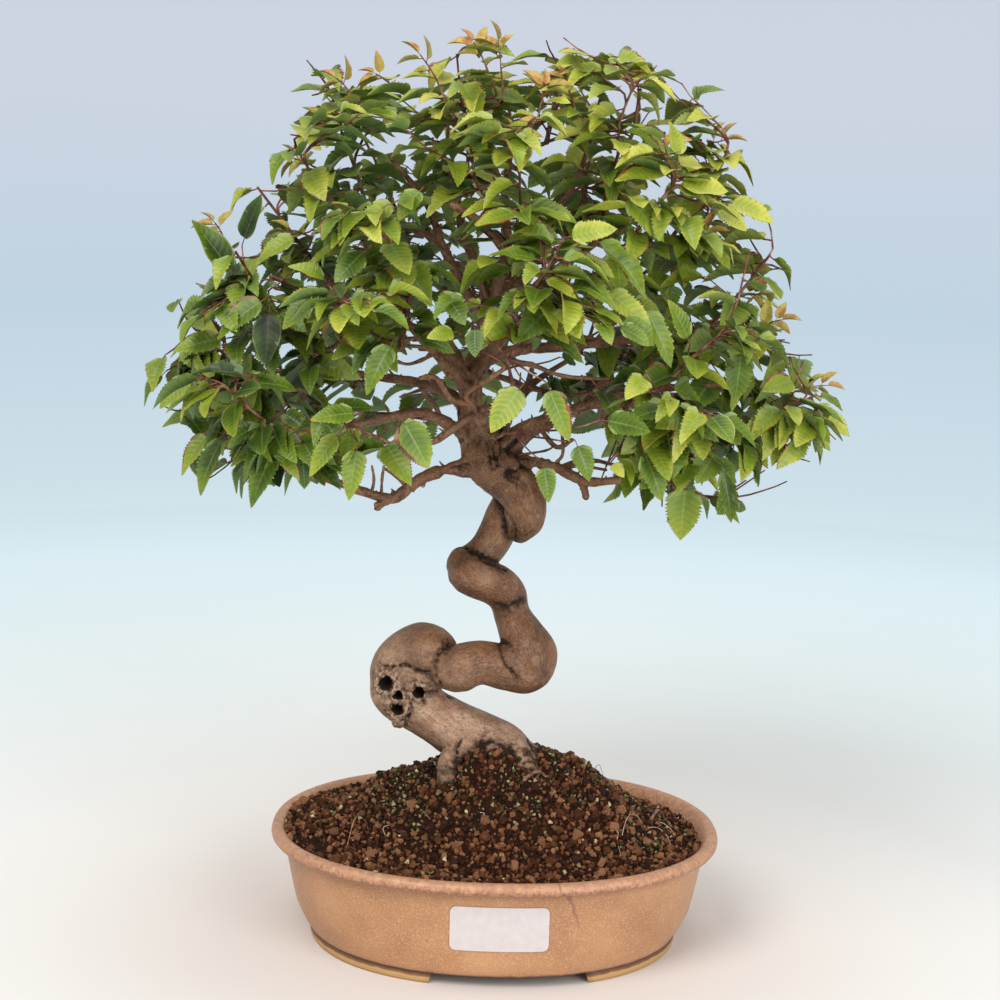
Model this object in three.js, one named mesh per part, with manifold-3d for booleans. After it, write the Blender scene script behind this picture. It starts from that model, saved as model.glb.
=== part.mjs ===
// Korean hornbeam bonsai in its oval pot. Millimetres, +Z up, +Y away from the viewer.
import * as THREE from "three";
import { mergeVertices } from "three/addons/utils/BufferGeometryUtils.js";
import Module from "manifold-3d";

const wasm = await Module();
wasm.setup();

// Driving dimensions
const clearance = 0.3;
const potHeight = 60;
const potRoundness = 2.17;
const potFloorTop = 14;
const footGap = [-31, 49];
const holeRadius = 9;
const holeSpacing = 104;
const screenSize = 26;
const screenThickness = 1.2;
const labelWidth = 50;
const labelHeight = 23.5;
const labelBottom = 21.6;
const labelThickness = 0.6;
const moundHeight = 99;
const moundCentre = [8, 4];
const grainRelief = 2;
const shootCount = 43;
const leafCounts = [7, 6, 6];
const leafThickness = 1.2;
const twigRadius = 1.05;
const canopyCentre = [-6, 2, 288];
const canopyDepthRatio = 0.76;
const canopyBottom = 238;
const canopyTop = 479;
const underLift = 50;

// Half-length, half-width and height of the pot at each level
const potOutside = [
  [99, 85, 6.4],
  [103.4, 87, 13.5],
  [106.6, 87.6, 20],
  [112, 88.6, 46],
  [112.4, 88.8, 51.4],
  [119.2, 96.2, 53.4],
  [119.8, 96.8, 57.8],
  [118, 95, potHeight],
];
const potInside = [
  [111.6, 88.6, potHeight],
  [106.4, 83.2, 48],
  [101, 81, 20],
  [95, 76, potFloorTop],
];
const footOutside = [98.6, 83.4];
const footInside = [88, 73];

// Trunk and roots as hand-placed points: x, y, z and radius. Each coil is its own sweep, so that
// the creases between them stay sharp.
const trunkSweeps = {
  stem: [
    [14, 5, 64, 13],
    [13, 4, 78, 16],
    [4, 2, 94.5, 17],
    [-11, 0, 104, 16.2],
    [-25, -1, 112.5, 14.8],
    [-38, 0, 120, 14.4],
    [-49, 2, 128.5, 15.4],
    [-53.5, 3, 137, 15],
    [-52, 4, 146, 14],
    [-43.5, 1, 153.5, 14],
    [-36, -6, 155.5, 13.4],
    [-31, -12, 152, 11.6],
  ],
  head: [
    [-54, 3, 142, 10.6],
    [-57, 2, 135, 12],
    [-57.5, 0, 129, 11],
    [-54, -1, 122.5, 8.4],
    [-51, -1.5, 117.5, 5.6],
  ],
  fold: [
    [-49, -1, 143, 11],
    [-40, -5, 142.5, 10.6],
    [-31, -8, 142, 8],
  ],
  lowerCoil: [
    [-25.5, -16, 147, 11.4],
    [-19, -17.6, 149.3, 13],
    [-9.6, -15, 151.6, 11.7],
    [2.2, -9, 148.6, 12.2],
    [13.8, -3, 146.6, 13.8],
    [17, 3, 153.8, 13],
    [11, 6, 163.6, 11.8],
    [6, 5, 173.5, 10.5],
    [4, 3, 182, 10.7],
    [-1, -1, 189, 10.9],
    [-9.3, -6, 194, 11.3],
    [-18.8, -7, 198.3, 11],
  ],
  upperCoil: [
    [-21, -3, 200.6, 9],
    [-15.6, 3, 202.6, 9.6],
    [-9.2, 6, 207.4, 9.8],
    [-3.2, 7, 216.7, 9.8],
    [0.8, 6, 227.5, 9.8],
    [3.2, 4, 235, 9],
  ],
  crown: [
    [8.6, -2, 220.5, 7.6],
    [11.2, -5, 226.6, 10.2],
    [10.8, -6, 234, 11.2],
    [7.8, -4, 241.3, 12],
    [1.3, -1, 247.5, 12.6],
    [-6.2, 1, 254, 13],
    [-12.6, 3, 262, 11],
    [-17.3, 4, 272, 7.9],
    [-19, 5, 283, 6.6],
    [-18.9, 6, 296, 6.4],
    [-15.5, 8, 309, 6.2],
    [-8.6, 9, 322, 5.6],
  ],
};
const rootSweeps = [
  [[-14, -4, 102, 9], [-23, -13, 99, 6.6], [-27, -21, 91, 5.2], [-31, -32, 76, 3.4]],
  [[8, -2, 99, 11], [14.5, -14, 96.5, 7.6], [18, -23, 88, 5.4], [21, -34, 74, 3.4]],
  [[-2, -4, 99, 9], [-7, -16, 96, 5.4], [-10, -25, 88, 4], [-13, -36, 74, 2.6]],
  [[12, 2, 93, 12], [28, 5, 94, 6], [41, 6, 91, 3.6], [56, 10, 82, 2.6], [68, 14, 70, 2]],
  [[12, 6, 91, 11], [18, 22, 90, 6.4], [24, 37, 81, 4.4], [29, 50, 68, 3]],
  [[-8, 6, 97, 10], [-18, 21, 91, 6], [-27, 34, 81, 4.2], [-36, 46, 68, 3]],
];
const scarHoles = [
  { at: [-60, -9, 137.2], radius: 3.8 },
  { at: [-53, -12, 131.4], radius: 2.1 },
  { at: [-42.4, -10.5, 133.8], radius: 3 },
  { at: [-53.4, -10.5, 124.2], radius: 3.4 },
];

// Limbs, from the crown outwards: x, y, z and radius
const limbs = [
  [[-8, 0, 254, 6.5], [-20, -3, 253, 5.4], [-33, -5, 251.4, 3.6], [-43, -8, 247.7, 3.2], [-51, -12, 242, 3.1],
    [-59, -16, 238, 2.8], [-74, -22, 243, 2.3], [-92, -29, 250, 1.9], [-112, -35, 255, 1.4]],
  [[-11, 2, 262, 6.3], [-23, 0, 271, 4.2], [-37, -6, 280, 2.9], [-48, -12, 282.7, 2.7],
    [-76, -26, 278, 2.3], [-104, -36, 275, 1.9], [-132, -42, 279, 1.4]],
  [[-14, 5, 270, 5], [-23, 9, 285, 3.6], [-44, 24, 293, 2.9], [-70, 42, 294, 2.4],
    [-102, 54, 295, 1.9], [-132, 60, 293, 1.4]],
  [[-18, 5, 290, 4.6], [-27, -3, 308, 3.4], [-42, -10, 323, 2.8], [-66, -19, 333, 2.4],
    [-93, -25, 342, 1.9], [-120, -29, 352, 1.4]],
  [[0, 0, 256, 6.3], [15, -4, 257, 3.8], [25.5, -8, 255.7, 3], [35, -12, 252, 2.8], [44, -15, 249.5, 2.6],
    [64, -22, 253, 2.3], [87, -30, 259, 1.9], [108, -36, 262, 1.4]],
  [[-5, 2, 259.5, 8.4], [5, 2, 268, 6.8], [12.6, 2, 274.3, 5.5], [20, -2, 277.5, 4.4],
    [38, -14, 288, 3.3], [61, -30, 298.8, 2.4], [91, -43, 304, 1.9], [118, -48, 306, 1.4]],
  [[8, 4, 270, 5.4], [16, 12, 275, 4], [28, 18, 278, 3.4], [50, 28, 286, 2.8],
    [84, 40, 288, 2.3], [114, 48, 287, 1.9], [138, 52, 288, 1.4]],
  [[-14, 8, 306, 4.4], [2, 6, 314, 3.2], [24, 3, 317, 2.8], [54, -1, 321, 2.3],
    [84, -6, 326, 1.9], [114, -10, 334, 1.4]],
  [[-10, 9, 318, 4.2], [3, 6, 336, 3], [18, 1, 352, 2.6], [38, -6, 368, 2], [64, -11, 386, 1.4]],
  [[-8.6, 9, 320, 5], [-7, 6, 344, 3.4], [-2, 3, 368, 2.7], [-4, 1, 396, 2], [0, 0, 424, 1.4]],
  [[-10, 8, 320, 4.2], [-20, 4, 340, 3], [-34, -2, 366, 2.4], [-44, -7, 390, 1.9], [-62, -10, 412, 1.4]],
  [[-9, 10, 322, 4], [-14, 15, 348, 2.8], [-26, 18, 376, 2.2], [-30, 21, 400, 1.8], [-42, 23, 420, 1.4]],
  [[-8, 10, 326, 4], [6, 14, 352, 2.8], [16, 18, 378, 2.2], [32, 20, 400, 1.8], [40, 25, 424, 1.4]],
  [[-8, -4, 262, 5.4], [-9, -24, 274, 3.6], [-14, -50, 288, 2.6], [-20, -76, 300, 1.4]],
  [[-15, 2, 303, 4.4], [-4, -18, 322, 3], [10, -42, 340, 2.4], [20, -68, 358, 1.4]],
  [[-4, 8, 262, 5.4], [0, 32, 274, 3.6], [10, 62, 286, 2.6], [14, 88, 296, 1.4]],
  [[-11, 12, 310, 4.4], [-6, 34, 332, 3], [2, 58, 352, 2.2], [8, 84, 366, 1.4]],
  [[-18, 10, 290, 4.4], [-30, 30, 312, 3], [-50, 54, 330, 2.2], [-70, 74, 342, 1.4]],
  [[-20, -2, 292, 4.2], [-34, -24, 312, 2.8], [-50, -46, 332, 2.1], [-62, -64, 350, 1.4]],
];

// Half-width of the canopy and height, from its lower edge to its top
const canopyProfile = [
  [118, canopyBottom],
  [158, 250],
  [184, 282],
  [162, 335],
  [142, 388],
  [118, 432],
  [84, 457],
  [36, canopyTop],
];

// Small vector tools on plain arrays
const add = (a, b, s = 1) => [a[0] + b[0] * s, a[1] + b[1] * s, a[2] + b[2] * s];
const dot = (a, b) => a[0] * b[0] + a[1] * b[1] + a[2] * b[2];
const cross = (a, b) => [
  a[1] * b[2] - a[2] * b[1],
  a[2] * b[0] - a[0] * b[2],
  a[0] * b[1] - a[1] * b[0],
];
const length = (a) => Math.hypot(a[0], a[1], a[2]);
const unit = (a) => a.slice(0, 3).map((value) => value / length(a));
const mix = (a, b, t) => a.map((value, i) => value + (b[i] - value) * t);
const up = [0, 0, 1];

// Turns v about a unit axis
function turned(v, axis, angle) {
  const along = dot(v, axis);
  const side = cross(axis, v);
  const c = Math.cos(angle);
  const s = Math.sin(angle);
  return v.map((value, i) => value * c + side[i] * s + axis[i] * along * (1 - c));
}

// A seeded draw of numbers from 0 to 1
function draws(seed) {
  let state = Math.imul(seed + 1, 2654435761) >>> 0;
  const next = () => {
    state = (Math.imul(state, 1664525) + 1013904223) >>> 0;
    return state / 4294967296;
  };
  next();
  next();
  return next;
}

// A smooth run of points through the hand-placed ones, the fourth value being the radius
function smoothRun(points, steps) {
  const run = [];
  for (let i = 0; i < points.length - 1; i += 1) {
    const p = [Math.max(i - 1, 0), i, i + 1, Math.min(i + 2, points.length - 1)].map((k) => points[k]);
    for (let k = 0; k < steps; k += 1) {
      const t = k / steps;
      run.push(p[1].map((_, axis) => {
        const [a, b, c, d] = p.map((point) => point[axis]);
        return b + 0.5 * t * (c - a + t * (2 * a - 5 * b + 4 * c - d + t * (3 * (b - c) + d - a)));
      }));
    }
  }
  run.push([...points[points.length - 1]]);
  return run;
}

// Mesh helpers: corners and triangles in, one closed body out
function solidFrom(corners, triangles) {
  const geometry = new THREE.BufferGeometry();
  geometry.setAttribute("position", new THREE.Float32BufferAttribute(corners.flat(), 3));
  geometry.setIndex(triangles.flat());
  return solidOf(geometry);
}

function solidOf(source) {
  const bare = source.clone();
  bare.deleteAttribute("normal");
  bare.deleteAttribute("uv");
  const geometry = mergeVertices(bare, 1e-4);
  return new wasm.Manifold(new wasm.Mesh({
    numProp: 3,
    vertProperties: new Float32Array(geometry.attributes.position.array),
    triVerts: new Uint32Array(geometry.index.array),
  }));
}

function geometryOf(solid) {
  const mesh = solid.getMesh();
  const geometry = new THREE.BufferGeometry();
  geometry.setAttribute("position", new THREE.BufferAttribute(new Float32Array(mesh.vertProperties), 3));
  geometry.setIndex(new THREE.BufferAttribute(new Uint32Array(mesh.triVerts), 1));
  geometry.computeVertexNormals();
  return geometry;
}

const joined = (solids) => wasm.Manifold.union(solids);

// Drops slivers that a cut or join leaves, within a third of the clearance
const thinned = (solid) => solid.asOriginal().simplify(clearance / 3);

// Closed surface through stacked rings of equal corner count, with a point at each end
function stacked(rings, start, end) {
  const sides = rings[0].length;
  const corners = [...rings.flat(), start, end];
  const first = corners.length - 2;
  const last = corners.length - 1;
  const top = (rings.length - 1) * sides;
  const triangles = [];
  for (let k = 0; k < sides; k += 1) {
    const n = (k + 1) % sides;
    triangles.push([first, n, k]);
    triangles.push([last, top + k, top + n]);
    for (let r = 0; r < rings.length - 1; r += 1) {
      const low = r * sides;
      const high = low + sides;
      triangles.push([low + k, low + n, high + n]);
      triangles.push([low + k, high + n, high + k]);
    }
  }
  return solidFrom(corners, triangles);
}

// Directions of a run, taken over a window so that tight bends don't fold
function headings(run, window) {
  return run.map((_, i) => unit(add(
    run[Math.min(i + window, run.length - 1)].slice(0, 3),
    run[Math.max(i - window, 0)],
    -1,
  )));
}

// Tube along a run of points with its own radius at each, rounded at its ends
function tube(run, sides, options = {}) {
  const { window = 1, relief = () => 1, roundStart = false, roundEnd = true, startAxis, endAxis } = options;
  const heading = headings(run, window);
  heading[0] = startAxis ?? heading[0];
  heading[heading.length - 1] = endAxis ?? heading[heading.length - 1];
  let side = unit(cross(heading[0], Math.abs(heading[0][2]) < 0.9 ? up : [1, 0, 0]));
  const rings = [];
  const ringAt = (centre, radius, axis, across, i) => {
    const other = cross(axis, across);
    return Array.from({ length: sides }, (_, k) => {
      const angle = (k / sides) * 2 * Math.PI;
      const r = radius * relief(angle, i);
      return add(add(centre, across, r * Math.cos(angle)), other, r * Math.sin(angle));
    });
  };
  const firstRadius = run[0][3];
  if (roundStart) {
    const before = add(run[0], heading[0], -firstRadius * 0.6);
    rings.push(ringAt(before, firstRadius * 0.72, heading[0], side, 0));
  }
  run.forEach((point, i) => {
    side = unit(add(side, heading[i], -dot(side, heading[i])));
    rings.push(ringAt(point, point[3], heading[i], side, i));
  });
  const last = run.length - 1;
  const lastRadius = run[last][3];
  if (roundEnd) {
    const beyond = add(run[last], heading[last], lastRadius * 0.6);
    rings.push(ringAt(beyond, lastRadius * 0.72, heading[last], side, last));
  }
  const start = add(run[0], heading[0], roundStart ? -firstRadius * 0.95 : 0);
  const end = add(run[last], heading[last], roundEnd ? lastRadius * 0.95 : 0);
  return stacked(rings, start, end);
}

// Pot
const ovalPoint = (a, b, angle) => {
  const c = Math.cos(angle);
  const s = Math.sin(angle);
  const power = 2 / potRoundness;
  return [a * Math.sign(c) * Math.abs(c) ** power, b * Math.sign(s) * Math.abs(s) ** power];
};

function ovalRing([a, b, z], segments = 34) {
  return Array.from({ length: segments }, (_, k) => {
    const [x, y] = ovalPoint(a, b, (k / segments) * 2 * Math.PI);
    return [x, y, z];
  });
}

function ovalBlock(levels, segments) {
  const bottom = levels[0][2];
  const top = levels[levels.length - 1][2];
  return stacked(levels.map((level) => ovalRing(level, segments)), [0, 0, bottom], [0, 0, top]);
}

function placedCylinder(radius, height, x, y, z, segments) {
  const geometry = new THREE.CylinderGeometry(radius, radius, height, segments);
  geometry.rotateX(Math.PI / 2);
  geometry.translate(x, y, z);
  return solidOf(geometry);
}

function placedBox(width, depth, height, x, y, z) {
  const geometry = new THREE.BoxGeometry(width, depth, height);
  geometry.translate(x, y, z);
  return solidOf(geometry);
}

function potSolid() {
  const body = ovalBlock(potOutside).subtract(ovalBlock([...potInside].reverse().map(
    ([a, b, z]) => [a, b, z === potHeight ? z + 0.01 : z],
  )));
  const band = ovalBlock([[...footOutside, 0], [...footOutside, 7]])
    .subtract(ovalBlock([[...footInside, -1], [...footInside, 6.4]]));
  const gapWidth = footGap[1] - footGap[0];
  const gapMiddle = (footGap[0] + footGap[1]) / 2;
  const frontGap = placedBox(gapWidth, 60, 10, gapMiddle, -90, 1.4);
  const rearGap = placedBox(gapWidth, 60, 10, -gapMiddle, 90, 1.4);
  const holes = [-1, 1].map((side) => placedCylinder(holeRadius, 20, (side * holeSpacing) / 2, 0, 10, 12));
  return thinned(body.add(band.subtract(frontGap).subtract(rearGap)).subtract(joined(holes)));
}

function labelSolid() {
  const wall = potOutside.filter(([, , z]) => z === 20 || z === 46);
  const columns = [];
  const middle = 3.6;
  for (let k = 0; k <= 4; k += 1) {
    columns.push(middle - labelWidth / 2 + (k / 4) * labelWidth);
  }
  const frontOf = (x, z) => {
    const t = (z - wall[0][2]) / (wall[1][2] - wall[0][2]);
    const [a, b] = mix(wall[0], wall[1], t);
    return -b * (1 - Math.abs(x / a) ** potRoundness) ** (1 / potRoundness);
  };
  const corners = [];
  for (const offset of [clearance, clearance + labelThickness]) {
    for (const x of columns) {
      for (const z of [labelBottom, labelBottom + labelHeight]) {
        corners.push([x, frontOf(x, z) - offset, z]);
      }
    }
  }
  const triangles = [];
  const row = columns.length * 2;
  const quad = (a, b, c, d) => triangles.push([a, b, c], [a, c, d]);
  for (let k = 0; k < columns.length - 1; k += 1) {
    const i = k * 2;
    quad(i, i + 1, i + 3, i + 2);
    quad(row + i, row + i + 2, row + i + 3, row + i + 1);
    quad(i, i + 2, row + i + 2, row + i);
    quad(i + 1, row + i + 1, row + i + 3, i + 3);
  }
  quad(0, row, row + 1, 1);
  quad(row - 2, row - 1, row * 2 - 1, row * 2 - 2);
  return solidFrom(corners, triangles);
}

function screenSolid(x) {
  const z = potFloorTop + clearance + screenThickness / 2;
  const plate = placedBox(screenSize, screenSize, screenThickness, x, 0, z);
  const slots = [-1, 0, 1].map((k) => placedBox(4, screenSize - 6, 4, x + k * 7, 0, z));
  return plate.subtract(joined(slots));
}

// Soil: a mound with its grains raised by formula, hollowed for the roots and the screens
function moundHeightAt(x, y) {
  const wallLevel = 53.5 - 2 * (x / 106);
  const reach = Math.hypot((x - moundCentre[0]) / 110, (y - moundCentre[1]) / 87);
  const rise = Math.max(0, 1 - reach ** 2);
  return wallLevel + (moundHeight - wallLevel) * rise ** 1.15;
}

function soilSolid(cutters) {
  const segments = 26;
  const ringCount = 9;
  const wallGap = clearance + 0.6;
  const bottomZ = potFloorTop + clearance;
  const [, atMound, atCorner, atFloor] = potInside;
  const inset = ([a, b, z]) => ovalRing([a - wallGap, b - wallGap, Math.max(z, bottomZ)], segments);
  const rings = [inset(atFloor), inset(atCorner), inset(atMound)];
  for (let r = 0; r < ringCount; r += 1) {
    const share = 1 - r / ringCount;
    const draw = draws(900 + r);
    const ring = ovalRing([(atMound[0] - 0.2) * share, (atMound[1] - 0.2) * share, 0], segments);
    rings.push(ring.map(([x, y]) => {
      const relief = r === 0 ? draw() - 0.5 : (draw() * 2 - 1) * grainRelief;
      return [x, y, moundHeightAt(x, y) + relief];
    }));
  }
  const body = stacked(rings, [0, 0, bottomZ], [0, 0, moundHeightAt(0, 0)]);
  return thinned(body.subtract(joined(cutters)));
}

// Branchlets and shoots
function onCanopy(share) {
  const spans = [];
  for (let i = 0; i < canopyProfile.length - 1; i += 1) {
    const [a, b] = [canopyProfile[i], canopyProfile[i + 1]];
    spans.push(Math.hypot(b[0] - a[0], b[1] - a[1]) * (a[0] + b[0]));
  }
  let left = share * spans.reduce((sum, span) => sum + span, 0);
  let i = 0;
  while (i < spans.length - 1 && left > spans[i]) {
    left -= spans[i];
    i += 1;
  }
  return mix(canopyProfile[i], canopyProfile[i + 1], left / spans[i]);
}

const limbRuns = limbs.map((limb) => smoothRun(limb, 1));

// The place on a limb from which a branchlet reaches the shoot most naturally
function limbNearest(base) {
  let best = { cost: Infinity };
  limbRuns.forEach((run) => {
    for (let i = 1; i < run.length; i += 1) {
      const heading = unit(add(run[i].slice(0, 3), run[i - 1], -1));
      const way = add(base, run[i], -1);
      const cost = length(way) * (1.35 - 0.6 * dot(unit(way), heading)) + 4 / run[i][3];
      if (cost < best.cost) {
        best = { cost, point: run[i], heading };
      }
    }
  });
  return best;
}

function shootPlan(index, trial) {
  const draw = draws(index * 131 + trial * 17);
  const share = (index + 0.35 + 0.3 * draw()) / shootCount;
  const [reach, height] = onCanopy(share ** 0.94);
  const angle = index * 2.399963 + 0.5 * (draw() - 0.5) + trial * 0.25;
  const depth = (canopyTop - height) / (canopyTop - canopyBottom);
  const lift = underLift * Math.abs(Math.sin(angle)) ** 1.5 * depth ** 2;
  const edge = [
    canopyCentre[0] + reach * Math.cos(angle),
    canopyCentre[1] + reach * canopyDepthRatio * Math.sin(angle),
    height + lift,
  ];
  const out = unit(add(edge, canopyCentre, -1));
  const sway = [draw() - 0.5, draw() - 0.5, draw() * 0.5];
  const axis = unit(add(add(out, sway, 0.55), up, 0.12));
  const reachOut = 44 + 16 * draw();
  const base = add(edge, axis, -(reachOut + 12));
  return { index, base, axis, out, reach: reachOut, leaves: leafCounts[index % 3] };
}

function branchletRun(plan) {
  const from = limbNearest(plan.base);
  const gap = length(add(plan.base, from.point, -1));
  const controls = [
    from.point.slice(0, 3),
    add(from.point, from.heading, gap * 0.34),
    add(plan.base, plan.axis, -gap * 0.36),
    plan.base,
  ];
  const startRadius = Math.min(from.point[3] * 0.8, 2.4);
  const steps = Math.max(2, Math.round(gap / 30));
  return Array.from({ length: steps + 1 }, (_, k) => {
    const t = k / steps;
    const weights = [(1 - t) ** 3, 3 * t * (1 - t) ** 2, 3 * t * t * (1 - t), t ** 3];
    const point = [0, 1, 2].map((axis) => weights.reduce((sum, w, i) => sum + w * controls[i][axis], 0));
    return [...point, startRadius + (twigRadius - startRadius) * t];
  });
}

// The twig of a shoot: a slight zigzag that lifts towards its tip
function twigRun(plan) {
  const draw = draws(plan.index * 57 + 5000);
  const side = unit(cross(plan.axis, up));
  const lift = plan.axis[2] > 0.3 ? 0.1 : -0.06;
  const run = [];
  for (let k = 0; k <= 3; k += 1) {
    const t = k / 3;
    const sway = k === 0 ? 0 : (k % 2 === 0 ? 1 : -1) * (1 + draw());
    const along = clearance + t * plan.reach;
    const point = add(add(add(plan.base, plan.axis, along), side, sway), up, lift * plan.reach * t * t);
    run.push([...point, twigRadius - 0.4 * t]);
  }
  return run;
}

function runPoint(run, t) {
  const place = Math.min(t, 0.9999) * (run.length - 1);
  const i = Math.floor(place);
  const heading = unit(add(run[i + 1].slice(0, 3), run[i], -1));
  return { point: mix(run[i], run[i + 1], place - i), heading };
}

// Where leaf number k of a shoot sits, which way it points and how large it is
function leafPlan(plan, run, k, trial) {
  const draw = draws(plan.index * 977 + k * 61 + trial * 7 + 20000);
  const last = k === plan.leaves - 1;
  const t = last ? 0.985 : 0.1 + (0.84 * (k + 0.3 * draw())) / (plan.leaves - 1);
  const { point, heading } = runPoint(run, t);
  const flat = unit(cross(heading, Math.abs(heading[2]) > 0.85 ? plan.out : up));
  const roll = (draw() - 0.5) * 0.9 + trial * 0.55 * (trial % 2 === 0 ? 1 : -1);
  const across = turned(flat, heading, roll + (k % 2 === 0 ? 0 : Math.PI));
  const spread = last ? 0.15 : 0.85 + 0.3 * draw();
  const forward = last ? 1 : 0.5 + 0.35 * draw();
  const hang = 0.2 + 0.6 * draw();
  const wanted = add(add(heading, heading, forward - 1), across, spread);
  const tip = unit([wanted[0], wanted[1], wanted[2] * 0.4 - hang]);
  const facing = add(add(up, plan.out, 0.7), [draw() - 0.5, draw() - 0.5, draw() - 0.5], 1.1);
  const normal = unit(add(facing, tip, -dot(facing, tip)));
  const size = (last ? 19 : 27.5 - 4 * t) + 5 * draw();
  return { point, tip, normal, size, width: size * (0.54 + 0.06 * draw()), fold: 0.1 + 0.2 * draw() };
}

// Leaf outline from stalk to tip: share of the length and of the half-width, with its large teeth
const leafEdge = [[0.16, 0.09], [0.25, 0.7], [0.5, 1], [0.55, 0.8], [0.77, 0.7]];
const leafRib = [[0.17, 0.75], [0.46, 1]];

function leafCorner(leaf, along, out, rise) {
  const side = cross(leaf.normal, leaf.tip);
  const half = leaf.width / 2;
  const bend = Math.abs(out) * half * leaf.fold - 0.2 * leaf.size * along * along;
  return add(add(add(leaf.point, leaf.tip, along * leaf.size), side, out * half), leaf.normal, bend + rise);
}

function leafSolid(leaf) {
  const half = leafThickness / 2;
  const stem = leafCorner(leaf, 0, 0, 0);
  const tip = leafCorner(leaf, 1, 0, 0);
  const left = leafEdge.map(([along, out]) => leafCorner(leaf, along, -out, 0));
  const right = leafEdge.map(([along, out]) => leafCorner(leaf, along, out, 0));
  const top = leafRib.map(([along, share]) => leafCorner(leaf, along, 0, half * share));
  const bottom = leafRib.slice(1).map(([along, share]) => leafCorner(leaf, along, 0, -half * share));
  const corners = [stem, tip, ...left, ...right, ...top, ...bottom];
  const n = leafEdge.length;
  const triangles = [];
  const leftEdge = 2;
  const rightEdge = leftEdge + n;
  const topRib = rightEdge + n;
  const bottomRib = topRib + 2;
  const topFace = (edge) => {
    const fan = Array.from({ length: n - 2 }, (_, k) => [topRib + 1, edge + k + 1, edge + k + 2]);
    return [
      [0, edge, topRib],
      [topRib, edge, edge + 1],
      [topRib, edge + 1, topRib + 1],
      ...fan,
      [topRib + 1, edge + n - 1, 1],
    ];
  };
  const bottomFace = (edge) => {
    const fan = Array.from({ length: n - 1 }, (_, k) => [bottomRib, edge + k, edge + k + 1]);
    return [[0, edge, bottomRib], ...fan, [bottomRib, edge + n - 1, 1]];
  };
  const flipped = (list) => list.map(([a, b, c]) => [a, c, b]);
  triangles.push(...topFace(leftEdge), ...flipped(topFace(rightEdge)));
  triangles.push(...flipped(bottomFace(leftEdge)), ...bottomFace(rightEdge));
  return solidFrom(corners, triangles);
}

// Is a solid clear of the ones already placed? Boxes first, then the true gap
function isClear(solid, placed, gap) {
  const mine = solid.boundingBox();
  return placed.every(({ solid: other, box }) => {
    const apart = [0, 1, 2].some((i) => mine.min[i] > box.max[i] + gap || mine.max[i] < box.min[i] - gap);
    return apart || solid.minGap(other, gap + 0.2) >= gap;
  });
}

function shootSolids(woodPieces) {
  const wood = woodPieces.map((solid) => ({ solid, box: solid.boundingBox(), shoot: -1 }));
  const twigs = [];
  const plans = [];
  for (let index = 0; index < shootCount; index += 1) {
    for (let trial = 0; trial < 12; trial += 1) {
      const plan = shootPlan(index, trial);
      const branch = branchletRun(plan);
      const run = twigRun(plan);
      const branchSolid = tube(branch, 3, { roundEnd: false, endAxis: plan.axis });
      const twigSolid = tube(run, 3, { roundEnd: false, startAxis: plan.axis });
      const twigClear = isClear(twigSolid, [...wood, ...twigs], clearance - 0.05);
      if (twigClear && isClear(branchSolid, twigs, clearance) && twigSolid.minGap(branchSolid, 1) > 0.2) {
        wood.push({ solid: branchSolid, box: branchSolid.boundingBox(), shoot: -1 });
        twigs.push({ solid: twigSolid, box: twigSolid.boundingBox(), shoot: index });
        plans.push({ plan, run });
        break;
      }
    }
  }
  const placed = [...wood, ...twigs];
  const shoots = plans.map(({ plan, run }, order) => {
    const parts = [twigs[order].solid];
    for (let k = 0; k < plan.leaves; k += 1) {
      for (let trial = 0; trial < 9; trial += 1) {
        const leaf = leafSolid(leafPlan(plan, run, k, trial));
        const others = placed.filter(({ shoot }) => shoot !== plan.index);
        const siblings = placed.filter(({ solid, shoot }) => shoot === plan.index && solid !== parts[0]);
        if (isClear(leaf, others, clearance) && isClear(leaf, siblings, 0.1)) {
          placed.push({ solid: leaf, box: leaf.boundingBox(), shoot: plan.index });
          parts.push(leaf);
          break;
        }
      }
    }
    return joined(parts).asOriginal().simplify(0.05);
  });
  return { shoots, branchlets: wood.slice(woodPieces.length).map(({ solid }) => solid) };
}

// Trunk
const barkSwell = (angle, i) => {
  const broad = 0.035 * Math.sin(2 * angle + i * 0.7);
  return 1 + broad + 0.02 * Math.sin(5 * angle - i * 0.9);
};

function trunkPieces(grow = 0) {
  const grown = (points) => points.map(([x, y, z, r]) => [x, y, z, r + grow]);
  const pieces = Object.entries(trunkSweeps).map(([name, points]) => tube(
    smoothRun(grown(points), 2),
    10,
    { window: name === "crown" ? 1 : 2, relief: barkSwell, roundStart: true },
  ));
  rootSweeps.forEach((points) => pieces.push(tube(smoothRun(grown(points), 1), 5)));
  return pieces;
}

function scarCutters() {
  return scarHoles.map(({ at, radius }) => {
    const geometry = new THREE.CylinderGeometry(radius * 0.6, radius * 1.1, 14, 7);
    geometry.translate(...at);
    return solidOf(geometry);
  });
}

const finishes = {
  pot: { color: 0xb98a68, roughness: 0.45, metalness: 0 },
  soil: { color: 0x5a3526, roughness: 0.95, metalness: 0 },
  bark: { color: 0x9a7f6c, roughness: 0.8, metalness: 0 },
  leaf: { color: 0x4c7a2e, roughness: 0.5, metalness: 0 },
  paper: { color: 0xf4f3f0, roughness: 0.7, metalness: 0 },
  plastic: { color: 0x2c3a2c, roughness: 0.6, metalness: 0 },
};

const group = new THREE.Group();
group.name = "hornbeam_bonsai";

function place(name, solid, finish) {
  const mesh = new THREE.Mesh(geometryOf(solid), new THREE.MeshStandardMaterial(finishes[finish]));
  mesh.name = name;
  group.add(mesh);
}

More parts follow.
